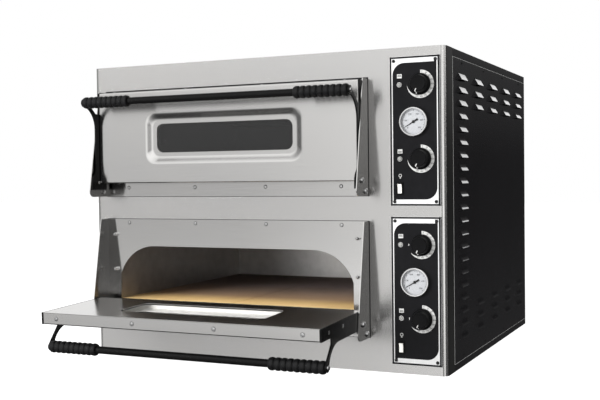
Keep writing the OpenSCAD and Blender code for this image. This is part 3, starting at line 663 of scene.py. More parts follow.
# Brushed upright and much darker than the front steel: the darker tone is painted shade for faces that look
# sideways
SHADED_CHEEK_STEEL = sheet_steel("shaded_cheek_steel", 0.32, 0.2, BRUSHED_UP)
SATIN_STEEL = sheet_steel("satin_front_steel", 0.62, 0.2, BRUSHED_ACROSS, metallic=0.94)
PLATE_STEEL = sheet_steel("polished_plate_steel", 0.74, 0.13, BRUSHED_ACROSS)
GRIP_BLACK = moulded("grip_black", (0.005, 0.005, 0.0052), 0.3, specular=0.22)
BLACK_PRINT = moulded("black_print", (0.0055, 0.0055, 0.0062), 0.34, specular=0.1)
WHITE_PRINT = white_print("white_print", (0.46, 0.46, 0.45))


# Doors

def rect_ring(w, h, r, y, up, steps=8):
    """A ring of points round a rectangle with round corners, at depth y in a door's frame."""
    ring = []
    middles = ((1, 1, 0), (-1, 1, 90), (-1, -1, 180), (1, -1, 270))
    for sx, sz, start in middles:
        for j in range(steps + 1):
            turn = radians(start + 90 * j / steps)
            x = sx * (w / 2 - r) + r * cos(turn)
            z = sz * (h / 2 - r) + r * sin(turn)
            ring.append(Vector((x, y, up + z)) * MM)
    return ring


def ease(t):
    """A step from 0 to 1 with soft ends."""
    return t * t * (3 - 2 * t)


def window_ring(extra, y):
    """A ring round the window, that much larger on every side."""
    return rect_ring(WINDOW_W + 2 * extra, WINDOW_H + 2 * extra, WINDOW_R + extra / 3, y, WINDOW_UP)


def door_skin(deck):
    """The outer sheet of a door: bent edges, and a window recess with soft pressed shoulders."""
    low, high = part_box("upper_door_skin")
    hinge = JOINT_AT["upper_door_hinge"]
    w = (high.x - low.x) / MM
    h = (high.z - low.z) / MM
    up = (low.z - hinge.z) / MM + h / 2
    back = (high.y - hinge.y) / MM
    rings = [rect_ring(w, h, DOOR_CORNER, back, up)]
    for i in range(BEND_STEPS + 1):
        turn = radians(90 * i / BEND_STEPS)
        inset = DOOR_BEND * (1 - cos(turn))
        y = DOOR_FRONT + DOOR_BEND * (1 - sin(turn))
        rings.append(rect_ring(w - 2 * inset, h - 2 * inset, DOOR_CORNER - inset, y, up))
    edge = 2 * (DOOR_BEND + FLAT_EDGE)
    rings.append(rect_ring(w - edge, h - edge, SHARP_CORNER, DOOR_FRONT, up))
    rings.append(window_ring(SHOULDER_OUT + FLAT_EDGE, DOOR_FRONT))
    for i in range(PRESS_STEPS + 1):
        t = i / PRESS_STEPS
        extra = SHOULDER_OUT + (SHOULDER_IN - SHOULDER_OUT) * t
        rings.append(window_ring(extra, DOOR_FRONT + RECESS_DEPTH * ease(t)))
    flange = DOOR_FRONT + RECESS_DEPTH
    inside = DOOR_FRONT + DOOR_SHEET
    rings += [
        window_ring(FLANGE_EDGE, flange), window_ring(0, flange + FLANGE_EDGE),
        window_ring(0, flange + DOOR_SHEET), window_ring(SHOULDER_IN - DOOR_SHEET, flange + DOOR_SHEET),
        window_ring(SHOULDER_OUT, inside),
    ]
    for y in (inside, back):
        rings.append(rect_ring(w - 2 * DOOR_SHEET, h - 2 * DOOR_SHEET, DOOR_CORNER - DOOR_SHEET, y, up))
    shell = placed(loft(rings, closed=True), hinge_frame(deck))
    return stand_in(add_piece(deck + "_door_skin_pressed", [shell]), deck + "_door_skin")


def handle_grips(deck):
    """Two ribbed grips on a door's handle bar, with rounded ends."""
    node = deck + "_handle_grips"
    count = GRIP_RIBS * GRIP_STEPS
    shells = []
    for low, high in solid_boxes(node):
        middle = (low + high) / 2
        radius = (high.y - low.y) / 2 / MM
        length = (high.x - low.x) / MM
        profile = []
        for i in range(count + 1):
            t = i / GRIP_STEPS
            bulge = abs(sin(pi * t)) ** GRIP_FLATNESS
            profile.append((radius - GRIP_GROOVE * (1 - bulge), length * i / count))
        start = Vector((low.x, middle.y, middle.z))
        shells.append(placed(turned(profile), aimed(start, X_AXIS)))
    return stand_in(add_piece(node + "_ribbed", shells), node, angle=60)


def window_panes(deck):
    """The two panes of a door: the outer one tinted, the inner one clear."""
    node = deck + "_door_glass"
    to_door = hinge_frame(deck).inverted()
    for name, slot in (("outer", "door_glass"), ("inner", "clear_glass")):
        work = merged_copy(node)
        for group in islands(work):
            is_outer = max((to_door @ vertex.co).y for vertex in group) < PANE_SPLIT * MM
            if is_outer != (name == "outer"):
                bmesh.ops.delete(work, geom=list(group), context="VERTS")
        stand_in(from_bmesh(f"{deck}_{name}_pane", work), node, slot)


def shade_sideways_faces(sheet):
    """Gives the faces of a sheet that look sideways a darker copy of its steel: painted shade."""
    paint_faces(sheet, SHADED_CHEEK_STEEL, lambda normal: abs(normal.x) > LOOKS_SIDEWAYS)


def frame_plate_shadow(deck):
    """A painted shadow line round a frame plate, printed on the fascia where the plate meets it, thicker above the
    plate.
    """
    low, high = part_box(deck + "_frame_plate")
    middle = (low + high) / 2 / MM
    size = (high - low) / MM
    above = SHADOW_ABOVE[deck]
    up = middle.z + (above - SHADOW_LINE_W) / 2
    outer = box_outline(middle.x, up, size.x + 2 * SHADOW_LINE_W, size.z + SHADOW_LINE_W + above)
    inner = box_outline(middle.x, middle.z, size.x, size.z)
    at = Matrix.Translation((0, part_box("front_fascia")[0].y, 0))
    printed(deck + "_frame_plate_shadow", [outer, inner], at, BLACK_PRINT, "oven_body")


def box_shell(low, high):
    """A plain box between two corners."""
    points = [Vector(corner) for corner in itertools.product(*zip(low, high))]
    faces = [(0, 1, 3, 2), (4, 6, 7, 5), (0, 4, 5, 1), (2, 3, 7, 6), (0, 2, 6, 4), (1, 5, 7, 3)]
    return points, faces


def casing_edge_highlights():
    """Painted highlights: fine light lines along the edges round the side panels, where the sheet edges would
    catch the light.
    """
    panel_low, panel_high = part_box("right_side_panel")
    cover_low, cover_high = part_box("top_cover")
    front = panel_low.y
    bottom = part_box("base_pan")[1].z
    top = cover_low.z
    half = HIGHLIGHT_LINE_W / 2 * MM
    shells = []
    for x in (cover_low.x, cover_high.x):
        left = x - PRINT_T * MM
        right = x + PRINT_T * MM
        for z in (bottom, top):
            shells.append(box_shell((left, front, z - half), (right, panel_high.y, z + half)))
        shells.append(box_shell((left, front, bottom), (right, front + FRONT_HIGHLIGHT_W * MM, top)))
    return dress(add_piece("casing_edge_highlights", shells), "stainless_steel", "oven_body")


def screw_shadow_rings(node):
    """A painted shadow ring round each screw of a node in the front."""
    boxes = solid_boxes(node)
    outlines = []
    for low, high in boxes:
        middle = (low + high) / 2 / MM
        outlines += [circle_outline(middle.x, middle.z, radius, 24) for radius in (SCREW_SHADOW_R, SCREW_R)]
    at = Matrix.Translation((0, boxes[0][0].y + SCREW_HEAD * MM, 0))
    printed(node + "_rims", outlines, at, BLACK_PRINT, "oven_body")


# Screws and bolts

def hex_recess(size):
    """The outline of a hexagon socket, as a radius for each angle."""
    def radius(turn):
        third = pi / 3
        return size / cos((turn % third) - third / 2)
    return radius


def cross_recess(reach, half_w):
    """The outline of a cross recess, as a radius for each angle."""
    def radius(turn):
        c = abs(cos(turn))
        s = abs(sin(turn))
        along = max(c, s)
        across = max(min(c, s), 1e-6)
        return max(min(reach / along, half_w / across), half_w)
    return radius


def screw(radius, height, recess, shank_r, shank_l, washer=0):
    """A domed screw along +Z with its seat at the origin and a driven recess in its head."""
    rings = [(shank_r, -shank_l), (shank_r, 0)]
    if washer:
        rings += [(washer, 0), (washer, WASHER_T), (radius, WASHER_T)]
    else:
        rings.append((radius, 0))
    rings.append((radius, height * DOME_SEAT))
    for i in range(1, DOME_STEPS):
        turn = radians(DOME_TURN * i / (DOME_STEPS - 1))
        dome_r = radius * (1 - DOME_DRAW * (1 - cos(turn)))
        rings.append((dome_r, height * (DOME_SEAT + (1 - DOME_SEAT) * sin(turn))))
    rings += [(radius * DOME_TOP, height), (recess, height), (recess, height * RECESS_FLOOR)]
    return turned(rings)


def cross_screw(shank_l, washer=0):
    """A sheet screw with a cross recess."""
    recess = cross_recess(CROSS_REACH, CROSS_HALF_W)
    return screw(SCREW_R, SCREW_HEAD, recess, SCREW_SHANK_R, shank_l, washer)


def casing_direction(low, high):
    """The way out of the casing for a screw in its side or back."""
    if high.x - low.x <= high.y - low.y:
        return Y_AXIS
    return X_AXIS if low.x > 0 else -X_AXIS


def bolt_direction(low, high):
    """The way out of a cheek for a hinge bolt."""
    return X_AXIS if (low + high).x / 2 > JOINT_AT["upper_door_hinge"].x else -X_AXIS


def screws(node, shell, seat_depth, direction):
    """Puts a screw at each solid of a node; its head's top is the solid's end along the direction."""
    shells = []
    for low, high in solid_boxes(node):
        way = direction(low, high) if callable(direction) else direction
        middle = (low + high) / 2
        reach = sum(Vector([abs(way[i]) * (high[i] - low[i]) / 2 for i in range(3)]))
        shells.append(placed(shell, aimed(middle + way * (reach - seat_depth * MM), way)))
    return stand_in(add_piece(node + "_driven", shells), node)


def door_screws(deck):
    """Screws of a door: domed ones in the bar's ends and the top edge, sunk ones in the side plates; the lip
    screws get thin black rings of painted shade round their washers.
    """
    node = deck + "_door_screws"
    out = hinge_frame(deck).to_3x3() @ Z_AXIS
    skin_low, skin_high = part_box(deck + "_door_skin")
    rod = screw(ROD_SCREW_R, ROD_SCREW_HEAD, hex_recess(ROD_SCREW_HEX), ROD_SHANK_R, ROD_SHANK)
    lip = cross_screw(LIP_SCREW_L - SCREW_HEAD, LIP_WASHER_R)
    cross = cross_recess(SUNK_CROSS_REACH, SUNK_CROSS_HALF_W)
    sunk = turned([
        (SCREW_SHANK_R, -SUNK_SCREW_L), (SCREW_SHANK_R, -SUNK_HEAD), (SUNK_R, -SUNK_EDGE), (SUNK_TOP_R, 0),
        (cross, 0), (cross, -SUNK_CROSS_DEPTH),
    ])
    # A thin black ring round each lip screw's washer: painted shade at the washer's edge
    shadow_rim_profile = [(LIP_WASHER_R, 0), (LIP_SHADOW_R, 0), (LIP_SHADOW_R, LIP_SHADOW_T), (LIP_WASHER_R, LIP_SHADOW_T)]
    rim = loft([polar_ring(radius, height, ROUND_STEPS) for radius, height in shadow_rim_profile], closed=True)
    shells = []
    shadow_rims = []
    for low, high in solid_boxes(node):
        middle = (low + high) / 2
        size = high - low
        if low.x > skin_low.x and high.x < skin_high.x:
            seat = aimed(middle + out * (LIP_SCREW_L / 2 - SCREW_HEAD) * MM, out)
            shells.append(placed(lip, seat))
            shadow_rims.append(placed(rim, seat))
            continue
        side = X_AXIS if middle.x > JOINT_AT[deck + "_door_hinge"].x else -X_AXIS
        in_rod = size.x > SUNK_LONGEST * MM
        depth = ROD_SCREW_HEAD * MM if in_rod else 0
        shells.append(placed(rod if in_rod else sunk, aimed(middle + side * (size.x / 2 - depth), side)))
    dress(add_piece(node + "_rims", shadow_rims), "black_plastic", BODY_OF[node])
    return stand_in(add_piece(node + "_driven", shells), node)


def door_stops():
    """Domed stop studs on the frame plates."""
    node = "door_stops"
    shells = []
    for low, high in solid_boxes(node):
        radius = (high.x - low.x) / 2 / MM
        top = (high.y - low.y) / MM - STUD_STEM
        profile = [(STUD_STEM_R, -STUD_STEM), (STUD_STEM_R, 0), (radius * STUD_FOOT, 0)]
        profile += [(radius, STUD_FOOT_H), (radius, top * STUD_SIDE)]
        for i in range(1, STUD_STEPS + 1):
            turn = radians(STUD_TURN * i / STUD_STEPS)
            height = top * (STUD_SIDE + (1 - STUD_SIDE) * sin(turn))
            profile.append((radius * cos(turn), height))
        seat = Vector(((low.x + high.x) / 2, high.y - STUD_STEM * MM, (low.z + high.z) / 2))
        shells.append(placed(turned(profile), aimed(seat, -Y_AXIS)))
    return stand_in(add_piece(node + "_domed", shells), node)


# Controls

def plate_frame(deck):
    """The matrix of a control plate's print: x to the right, z up, y back, on the plate's face."""
    low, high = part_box(deck + "_control_plate")
    middle = (low + high) / 2
    return Matrix.Translation((middle.x, low.y, middle.z))


def circle_outline(x, z, r, steps):
    return [(x + r * cos(2 * pi * i / steps), z + r * sin(2 * pi * i / steps))
            for i in range(steps)]


def box_outline(x, z, w, h):
    return [(x - w / 2, z - h / 2), (x + w / 2, z - h / 2), (x + w / 2, z + h / 2), (x - w / 2, z + h / 2)]


def clock_point(x, z, r, angle):
    """A point on a circle; the angle runs clockwise from 12 o'clock, in degrees."""
    turn = radians(angle)
    return x + r * sin(turn), z + r * cos(turn)


def arc_points(x, z, r, start, end, steps):
    """Points on an arc, with angles as on a clock."""
    return [clock_point(x, z, r, start + (end - start) * i / steps) for i in range(steps + 1)]


def dash(x, z, inner, outer, angle, half):
    """The outline of a tick of a round scale, half its width in degrees to each side."""
    outer_edge = arc_points(x, z, outer, angle - half, angle + half, 1)
    return outer_edge + arc_points(x, z, inner, angle + half, angle - half, 1)


def printed(name, outlines, matrix, ink, body, lift=0.0):
    """A thin printed layer from flat outlines in millimetres; an outline inside another is a hole."""
    curve = bpy.data.curves.new(name, "CURVE")
    curve.dimensions = "2D"
    curve.fill_mode = "BOTH"
    for outline in outlines:
        spline = curve.splines.new("POLY")
        spline.points.add(len(outline) - 1)
        for point, (x, z) in zip(spline.points, outline):
            point.co = (x * MM, z * MM, 0, 1)
        spline.use_cyclic_u = True
    layer(name, curve, matrix, ink, body, lift)


def layer(name, curve, matrix, ink, body, lift):
    """Turns a flat curve into a thin mesh that stands on a plate's face."""
    curve.extrude = PRINT_T / 2 * MM
    drawn = new_object(name + "_drawn", curve)
    bpy.context.view_layer.update()
    flat = drawn.evaluated_get(bpy.context.evaluated_depsgraph_get())
    mesh = bpy.data.meshes.new_from_object(flat)
    bpy.data.objects.remove(drawn)
    bpy.data.curves.remove(curve)
    forward = Matrix.Translation((0, -(lift + PRINT_T / 2) * MM, 0))
    upright = forward @ spun(90, "X")
    mesh.transform(matrix @ upright)
    mesh.name = name
    mesh.materials.clear()
    mesh.materials.append(ink)
    piece = new_object(name, mesh)
    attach(piece, body)


def numbers(name, marks, size, matrix, body, lift):
    """Plain black numbers, each a printed layer; a mark is (text, x, z)."""
    for i, (text, x, z) in enumerate(marks):
        curve = bpy.data.curves.new(name + str(i), "FONT")
        curve.body = text
        curve.size = size * MM
        curve.align_x = "CENTER"
        curve.align_y = "CENTER"
        curve.resolution_u = NUMBER_STEPS
        at = matrix @ Matrix.Translation((x * MM, 0, z * MM))
        layer(name + str(i), curve, at, BLACK_PRINT, body, lift)


def field_outline(w, h):
    """The black field: two large round corners, and a strip past two of the corner screws."""
    right = w / 2 - FIELD_SIDE
    top = h / 2 - FIELD_END
    tip = h / 2 - STRIP_END
    outline = [(right, top), (right, tip), (right - STRIP_W, tip), (right - STRIP_W, top)]
    outline += arc_points(-right + FIELD_R, top - FIELD_R, FIELD_R, 0, -90, 12)
    outline += [(-right, -tip), (-right + STRIP_W, -tip), (-right + STRIP_W, -top)]
    outline += arc_points(right - FIELD_R, -top + FIELD_R, FIELD_R, 180, 90, 12)
    return outline


def ring_outline(x, z, end):
    """The dial's scale: a band from 12 o'clock clockwise that thins to a point, with a short tail."""
    outer = arc_points(x, z, RING_OUT, 0, end, RING_STEPS)
    inner = []
    for i in range(RING_STEPS):
        angle = end * (1 - i / RING_STEPS)
        share = max(0.0, (angle - RING_TAPER) / (end - RING_TAPER))
        inner.append(clock_point(x, z, RING_IN + (RING_OUT - RING_IN) * share, angle))
    tail = []
    for i in range(TAIL_STEPS + 1):
        t = i / TAIL_STEPS
        tail.append(clock_point(x, z, RING_IN + TAIL_W * t, -TAIL_TURN * sin(pi * t)))
    return outer + inner + tail


def plate_holes(at, h):
    """Holes in the black field for what stands on a control plate."""
    holes = [circle_outline(DIAL_X, z, SPINDLE_HOLE_R, 24) for z in DIAL_Z]
    holes += [circle_outline(PILOT_X, z, PILOT_R, 24) for z in DIAL_Z]
    holes.append(circle_outline(GAUGE_X, GAUGE_Z, GAUGE_HOLE_R, 48))
    holes.append(box_outline(ROCKER_X, ROCKER_Z, ROCKER_HOLE_W, ROCKER_HOLE_H))
    for low, high in solid_boxes("panel_screws"):
        middle = at.inverted() @ ((low + high) / 2)
        on_strip = middle.x * middle.z > 0
        if on_strip and abs(middle.z) < h / 2 * MM:
            holes.append(circle_outline(middle.x / MM, middle.z / MM, SCREW_HOLE_R, 24))
    return holes


def control_plate(deck):
    """A control plate with its print: border, black field, dial scales and plain signs; also painted shade on its
    right-facing sides and a painted shadow strip on the fascia beside it.
    """
    node = deck + "_control_plate"
    body = BODY_OF[node]
    # The plate's faces that look right take the black print: painted shade along the plate's right edge
    paint_faces(softened(node, PLATE_EDGE), BLACK_PRINT, lambda normal: normal.x > LOOKS_RIGHT)
    at = plate_frame(deck)
    low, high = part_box(node)
    w = (high.x - low.x) / MM
    h = (high.z - low.z) / MM
    fascia = Matrix.Translation((0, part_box("front_fascia")[0].y - low.y, 0)) @ at

    def put(name, outlines, ink, lift=0.0, place=at):
        printed(f"{deck}_{name}", outlines, place, ink, body, lift)

    edge_w = w - 2 * BORDER_EDGE
    edge_h = h - 2 * BORDER_EDGE
    inside = box_outline(0, 0, edge_w - 2 * BORDER_W, edge_h - 2 * BORDER_W)
    put("plate_border", [box_outline(0, 0, edge_w, edge_h), inside], BLACK_PRINT)
    # A black strip on the fascia right of the plate: a painted shadow of the plate's edge
    put("plate_side_shadow", [box_outline((w + SHADE_W) / 2, 0, SHADE_W, h)], BLACK_PRINT, place=fascia)
    put("plate_field", [field_outline(w, h)] + plate_holes(at, h), BLACK_PRINT)

    for name, z, icon_up in zip(("top", "bottom"), DIAL_Z, ICON_UP):
        put(name + "_scale", [ring_outline(DIAL_X, z, RING_END[deck])], WHITE_PRINT, PRINT_T)
        angles = [MARK_START + i * MARK_STEP for i in range(MARKS)]
        places = [clock_point(DIAL_X, z, MARK_R, angle) for angle in angles]
        marks = [(str(i * MARK_VALUE), *place) for i, place in enumerate(places)]
        numbers(f"{deck}_{name}_number", marks, MARK_SIZE, at, body, 2 * PRINT_T)
        ticks = [dash(DIAL_X, z, TICK_IN, TICK_OUT, angle, TICK_HALF_W) for angle in angles]
        put(name + "_ticks", ticks, BLACK_PRINT, 2 * PRINT_T)
        if deck == "lower":
            end_tick = box_outline(DIAL_X - END_TICK_LEFT, z, END_TICK_W, END_TICK_H)
            put(name + "_end_tick", [end_tick], WHITE_PRINT, PRINT_T)
        sign = [box_outline(PILOT_X, z + icon_up, ICON_W, ICON_H)]
        for row in ICON_ROWS[name]:
            sign.append(box_outline(PILOT_X, z + icon_up + row, ICON_ROW_W, ICON_ROW_H))
        put(name + "_heat_sign", sign, WHITE_PRINT, PRINT_T)

    bulb = [circle_outline(PILOT_X, BULB_Z, radius, 32) for radius in (BULB_R, BULB_HOLE_R)]
    bulb.append(box_outline(PILOT_X, BULB_CAP_Z, BULB_CAP_W, BULB_CAP_H))
    put("light_sign", bulb, WHITE_PRINT, PRINT_T)


def knob(deck, name):
    """A thermostat knob with a skirt, a fluted grip and a white pointer."""
    node = f"{deck}_{name}_knob"
    at = JOINT_AT[f"{deck}_{name}_dial"]
    face = plate_frame(deck).translation.y
    place = aimed(Vector((at.x, face, at.z)), -Y_AXIS)

    def fluted(radius):
        return lambda turn: radius - KNOB_FLUTE_DEPTH * (1 + cos(KNOB_FLUTES * turn))

    profile = [
        (SPINDLE_R, -SPINDLE_L), (SPINDLE_R, KNOB_FOOT), (KNOB_SKIRT_R - 0.8, KNOB_FOOT),
        (KNOB_SKIRT_R, KNOB_FOOT + 0.8), (KNOB_SKIRT_R, KNOB_SKIRT_TOP - 2.4),
        (KNOB_SKIRT_R - 0.9, KNOB_SKIRT_TOP - 0.9), (KNOB_GRIP_R + 0.8, KNOB_SKIRT_TOP),
        (fluted(KNOB_GRIP_R), KNOB_SKIRT_TOP + 0.5), (fluted(KNOB_TOP_R + 0.3), KNOB_TOP - 2),
        (KNOB_TOP_R - 0.5, KNOB_TOP - 0.6), (KNOB_TOP_R - 1.6, KNOB_TOP),
        (KNOB_TOP_R - 3.4, KNOB_TOP - 0.1), (KNOB_TOP_R - 4.6, KNOB_TOP - 0.9), (2, KNOB_TOP - 1.1),
    ]
    fluted_shell = placed(turned(profile, 4 * KNOB_FLUTES), place)
    stand_in(add_piece(node + "_fluted", [fluted_shell]), node, angle=50)

    path = [
        (POINTER_START, KNOB_TOP - 1), (KNOB_TOP_R - 4.8, KNOB_TOP - 0.9), (KNOB_TOP_R - 3.4, KNOB_TOP),
        (KNOB_TOP_R - 1.2, KNOB_TOP), (KNOB_TOP_R + 0.2, KNOB_TOP - 1.6),
        (KNOB_GRIP_R + 0.6, KNOB_SKIRT_TOP + 0.2), (KNOB_SKIRT_R - 1, KNOB_SKIRT_TOP - 0.7),
    ]
    half_w = POINTER_W / 2
    rings = []
    for radius, height in path:
        under = (radius, height - POINTER_T)
        over = (radius + POINTER_T / 2, height + POINTER_T / 2)
        edges = ((-half_w, *under), (half_w, *under), (half_w, *over), (-half_w, *over))
        rings.append([Vector(edge) * MM for edge in edges])
    spin = Matrix.Translation(at) @ spun(POINTER_TURN, "Y")
    spin = spin @ Matrix.Translation((0, face - at.y, 0)) @ spun(90, "X")
    pointer = add_piece(node + "_pointer", [placed(loft(rings), spin)])
    pointer.data.materials.append(WHITE_PRINT)
    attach(pointer, BODY_OF[node])


def thermometer_face(deck):
    """Ticks and plain numbers on a thermometer's dial."""
    at = plate_frame(deck)
    low, high = solid_boxes("thermometer_dials")[DECKS.index(deck)]
    lift = (at.translation.y - low.y) / MM
    ticks = []
    marks = []
    for i in range(GAUGE_STEPS + 1):
        angle = -GAUGE_SWEEP / 2 + GAUGE_SWEEP * i / GAUGE_STEPS
        long_one = i % GAUGE_LONG_EVERY == 0
        inner = GAUGE_LONG_IN if long_one else GAUGE_SHORT_IN
        half = GAUGE_LONG_HALF_W if long_one else GAUGE_LONG_HALF_W / 2
        ticks.append(dash(GAUGE_X, GAUGE_Z, inner, GAUGE_TICK_OUT, angle, half))
        if i % GAUGE_MARK_EVERY == 0:
            marks.append((str(i * GAUGE_VALUE), *clock_point(GAUGE_X, GAUGE_Z, GAUGE_MARK_R, angle)))
    printed(deck + "_gauge_ticks", ticks, at, BLACK_PRINT, "oven_body", lift)
    numbers(deck + "_gauge_number", marks, GAUGE_MARK_SIZE, at, "oven_body", lift)


def pilot_lamps():
    """Small pilot lamps: a plated ring and a domed lens."""
    node = "pilot_lamps"
    face = plate_frame("lower").translation.y
    rings = []
    lenses = []
    for low, high in solid_boxes(node):
        place = aimed(Vector(((low.x + high.x) / 2, face, (low.z + high.z) / 2)), -Y_AXIS)
        radius = (high.x - low.x) / 2 / MM
        back = (face - high.y) / MM
        rings.append(placed(turned([
            (PILOT_STEM_R, back), (PILOT_STEM_R, 0), (radius, 0), (radius, 1.2), (radius - 0.7, PILOT_RING_H),
            (radius - 1.4, PILOT_RING_H), (radius - 1.5, LENS_FOOT)]), place))
        lens_r = radius - 1.6
        dome = [(lens_r, LENS_FOOT)]
        for i in range(LENS_STEPS + 1):
            turn = radians(LENS_TURN * i / LENS_STEPS)
            dome.append((lens_r * cos(turn), LENS_SIDE_H + LENS_DOME_H * sin(turn)))
        lenses.append(placed(turned(dome), place))
    for name, shells, slot in (("rings", rings, "gauge_bezel"), ("lenses", lenses, "lamp_lens")):
        stand_in(add_piece("pilot_lamp_" + name, shells), node, slot)


# Pieces that keep the CAD shape: rounded copies where they show, and finishes everywhere

def finish_nodes():
    """Gives every CAD node the finish of its slot."""
    for name, piece in frame["nodes"].items():
        piece.data.materials.clear()
        piece.data.materials.append(FINISHES[SLOT_OF[name]])


ROUNDED = {
    "base_pan": 1.3, "top_cover": 1.3, "left_side_panel": 0.9, "right_side_panel": 0.9, "back_panel": 0.6,
    "front_fascia": 0.6, "cable_gland": 0.6, "thermometer_cases": 0.5, "rocker_housings": 0.4,
}
ROUNDED_ON_DECKS = {
    "frame_plate": 1.0, "baking_stones": 1.5, "left_side_plate": 0.7, "right_side_plate": 0.7,
    "door_inner_panel": 0.4, "rocker": 0.6, "handle_bar": 0.5,
}


# Camera, light and floor

def add_camera():
    lens = bpy.data.cameras.new("camera")
    lens.sensor_width = SENSOR_W
    lens.lens = FOCAL_PX * SENSOR_W / PHOTO_W
    camera = new_object("camera", lens)
    yaw = spun(CAMERA_YAW, "Z")
    pitch = spun(90 + CAMERA_PITCH, "X")
    roll = spun(-CAMERA_ROLL, "Z")
    camera.matrix_world = Matrix.Translation(CAMERA_AT) @ yaw @ pitch @ roll
    scene.camera = camera


FLOOR_SIZE = 24


def add_floor():
    """A floor that reads white to the camera and that mirrors don't see, so that black sheet stays black."""
    size = FLOOR_SIZE / 2
    points = [(-size, -size, 0), (size, -size, 0), (size, size, 0), (-size, size, 0)]
    floor = add_piece("floor", [(points, [(0, 1, 2, 3)])])
    pale = mottled("pale_floor", [grey(0.29), grey(0.31)], [0.9], (2, 2), specular=0.1, glow=1.0)
    floor.data.materials.append(pale)
    floor.visible_glossy = False


# The room's brightness below and above the camera's level: (degrees from +Y towards +X, brightness)
ROUND_LOW = [
    (-172, 0.95), (-160, 0.80), (-152, 0.55), (-142, 0.52), (-126, 0.36), (-110, 0.12), (-58, 0.10),
    (-46, 0.75), (-32, 0.8), (-22, 0.55), (-12, 0.12), (0, 0.03), (60, 0.03), (114, 0.04), (120, 0.9),
    (136, 0.9), (144, 0.07), (158, 0.18), (168, 0.85), (178, 0.95),
]
ROUND_HIGH = [
    (-172, 0.95), (-160, 0.88), (-152, 0.85), (-142, 0.82), (-126, 0.6), (-110, 0.3), (-58, 0.25),
    (-46, 0.75), (-32, 0.8), (-22, 0.6), (-12, 0.15), (0, 0.10), (40, 0.10), (85, 0.10), (110, 0.25),
    (132, 0.55), (155, 0.9), (178, 1.0),
]
AHEAD_ON_RAMP = 0.75
LEVEL_START = 0.02
LEVEL_END = 0.16
# How it changes from straight down to straight up: (height of the direction, share)
RISE = [
    (-1.0, 0.04), (-0.55, 0.10), (-0.38, 0.6), (-0.25, 1.05), (-0.17, 1.6), (-0.1, 1.1), (-0.05, 0.86),
    (0.0, 0.80), (0.05, 1.02), (0.12, 1.25), (0.45, 1.25), (0.75, 1.2), (1.0, 0.95),
]


def round_stops(levels):
    """The stops of a radial ramp for brightness round the room."""
    return [((AHEAD_ON_RAMP - degrees / 360) % 1, grey(value)) for degrees, value in levels]


def add_world():
    """A studio that reads white to the camera, bright in front to the left and dark to the right."""
    world = bpy.data.worlds.new("studio")
    scene.world = world
    sky = NodeTree(world)
    way = sky.node("ShaderNodeTexCoord").outputs["Generated"]
    turn = sky.node("ShaderNodeTexGradient")
    turn.gradient_type = "RADIAL"
    sky.link(way, turn.inputs["Vector"])
    split = sky.node("ShaderNodeSeparateXYZ")
    sky.link(way, split.inputs["Vector"])
    height = split.outputs["Z"]
    low = sky.shades(turn.outputs["Fac"], round_stops(ROUND_LOW))
    high = sky.shades(turn.outputs["Fac"], round_stops(ROUND_HIGH))
    around = sky.mix(low, high)
    sky.link(sky.span(height, 0, 1, LEVEL_START, LEVEL_END), around.inputs["Factor"])
    rises = [((rise + 1) / 2, grey(value)) for rise, value in RISE]
    upward = sky.shades(sky.span(height, 0, 1, -1, 1), rises)
    room = sky.tree.nodes["Background"]
    sky.link(sky.multiply(around.outputs["Result"], upward), room.inputs["Color"])
    white = sky.node("ShaderNodeBackground", ("Color", (1, 1, 1, 1)))
    choice = sky.node("ShaderNodeMixShader")
    sky.link(sky.node("ShaderNodeLightPath").outputs["Is Camera Ray"], choice.inputs["Fac"])
    sky.link(room.outputs["Background"], choice.inputs[1])
    sky.link(white.outputs["Background"], choice.inputs[2])
    sky.link(choice.outputs["Shader"], sky.tree.nodes["World Output"].inputs["Surface"])


def add_softbox(name, at, target, size, power, shows=False, only=None):
    """A soft lamp; metal and gloss mirror it only where it shows; it may light only one piece."""
    lamp = bpy.data.lights.new(name, "AREA")
    lamp.shape = "RECTANGLE"
    lamp.size, lamp.size_y = size
    lamp.energy = power
    box = new_object(name, lamp)
    way = Vector(target) - Vector(at)
    box.matrix_world = Matrix.Translation(at) @ way.to_track_quat("-Z", "Y").to_matrix().to_4x4()
    box.visible_glossy = shows
    box.visible_transmission = False
    if only:
        lit = bpy.data.collections.new(name + "_lit")
        lit.objects.link(only)
        box.light_linking.receiver_collection = lit


scene.view_settings.view_transform = "Standard"
add_camera()
add_world()
add_floor()
add_softbox("key", at=(-1.6, -3.2, 2.6), target=(-0.1, -0.5, 0.3), size=(2.4, 1.8), power=60)
add_softbox("low_fill", at=(-1.8, -2.5, 0.75), target=(-0.1, 0.0, 0.25), size=(1.5, 1.0), power=140)

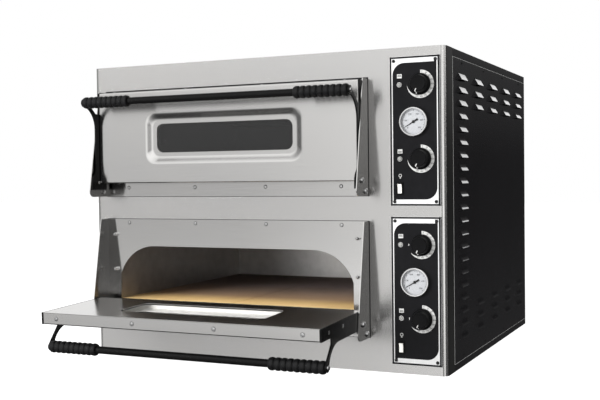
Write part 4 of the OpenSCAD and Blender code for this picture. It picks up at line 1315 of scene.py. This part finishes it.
finish_nodes()
rounded = {node_name: softened(node_name, width) for node_name, width in ROUNDED.items()}
rounded["front_fascia"].data.materials[0] = SATIN_STEEL
shade_sideways_faces(rounded["front_fascia"])
for deck_name in DECKS:
    for part_name, width in ROUNDED_ON_DECKS.items():
        node_name = f"{deck_name}_{part_name}"
        rounded[node_name] = softened(node_name, width)
    rounded[deck_name + "_frame_plate"].data.materials[0] = PLATE_STEEL
    shade_sideways_faces(rounded[deck_name + "_frame_plate"])
    for side in ("left", "right"):
        rounded[f"{deck_name}_{side}_side_plate"].data.materials[0] = FINISHES["black_bar"]
for deck_name in DECKS:
    frame_plate_shadow(deck_name)
    door_skin(deck_name)
    window_panes(deck_name)
    handle_grips(deck_name).data.materials[0] = GRIP_BLACK
    door_screws(deck_name)
    control_plate(deck_name)
    thermometer_face(deck_name)
    for knob_name in ("top", "bottom"):
        knob(deck_name, knob_name)
pilot_lamps()
door_stops()
screws("plate_screws", cross_screw(PLATE_SHANK), SCREW_HEAD, -Y_AXIS)
screw_shadow_rings("plate_screws")
# The casing's edge lines take the light grey print: painted highlights
casing_edge_highlights().data.materials[0] = WHITE_PRINT
screws("panel_screws", cross_screw(PANEL_SHANK), SCREW_HEAD, -Y_AXIS)
screws("casing_screws", cross_screw(CASING_SHANK), SCREW_HEAD, casing_direction)
bolt = screw(BOLT_R, BOLT_HEAD, hex_recess(BOLT_HEX), BOLT_SHANK_R, BOLT_SHANK)
screws("hinge_bolts", bolt, BOLT_HEAD, bolt_direction)

# Lamps for single pieces: bright edges on the casing, and light in the open chamber
add_softbox(
    "edge_strip", at=(2.38, -2.33, 0.45), target=(0.49, 0.0, 0.4), size=(1.5, 1.6), power=5, shows=True,
    only=rounded["front_fascia"],
)
add_softbox(
    "corner_glow", at=(3.28, -0.68, 1.7), target=(0.49, -0.44, 0.7), size=(3.2, 1.3), power=16, shows=True,
    only=rounded["front_fascia"],
)
add_softbox(
    "louvre_rim", at=(3.3, 28.9, 7.9), target=(0.49, 0.0, 0.4), size=(14.4, 5.8), power=525, shows=True,
    only=rounded["right_side_panel"],
)
add_softbox(
    "stone_fill", at=(-2.8, -1.8, 0.45), target=(0.1, 0.0, 0.2), size=(1.0, 0.7), power=260,
    only=rounded["lower_baking_stones"],
)
add_softbox(
    "chamber_fill", at=(-1.3, -2.4, 0.3), target=(0.2, 0.2, 0.2), size=(1.2, 0.8), power=12, shows=True,
    only=frame["nodes"]["lower_chamber_liner"],
)
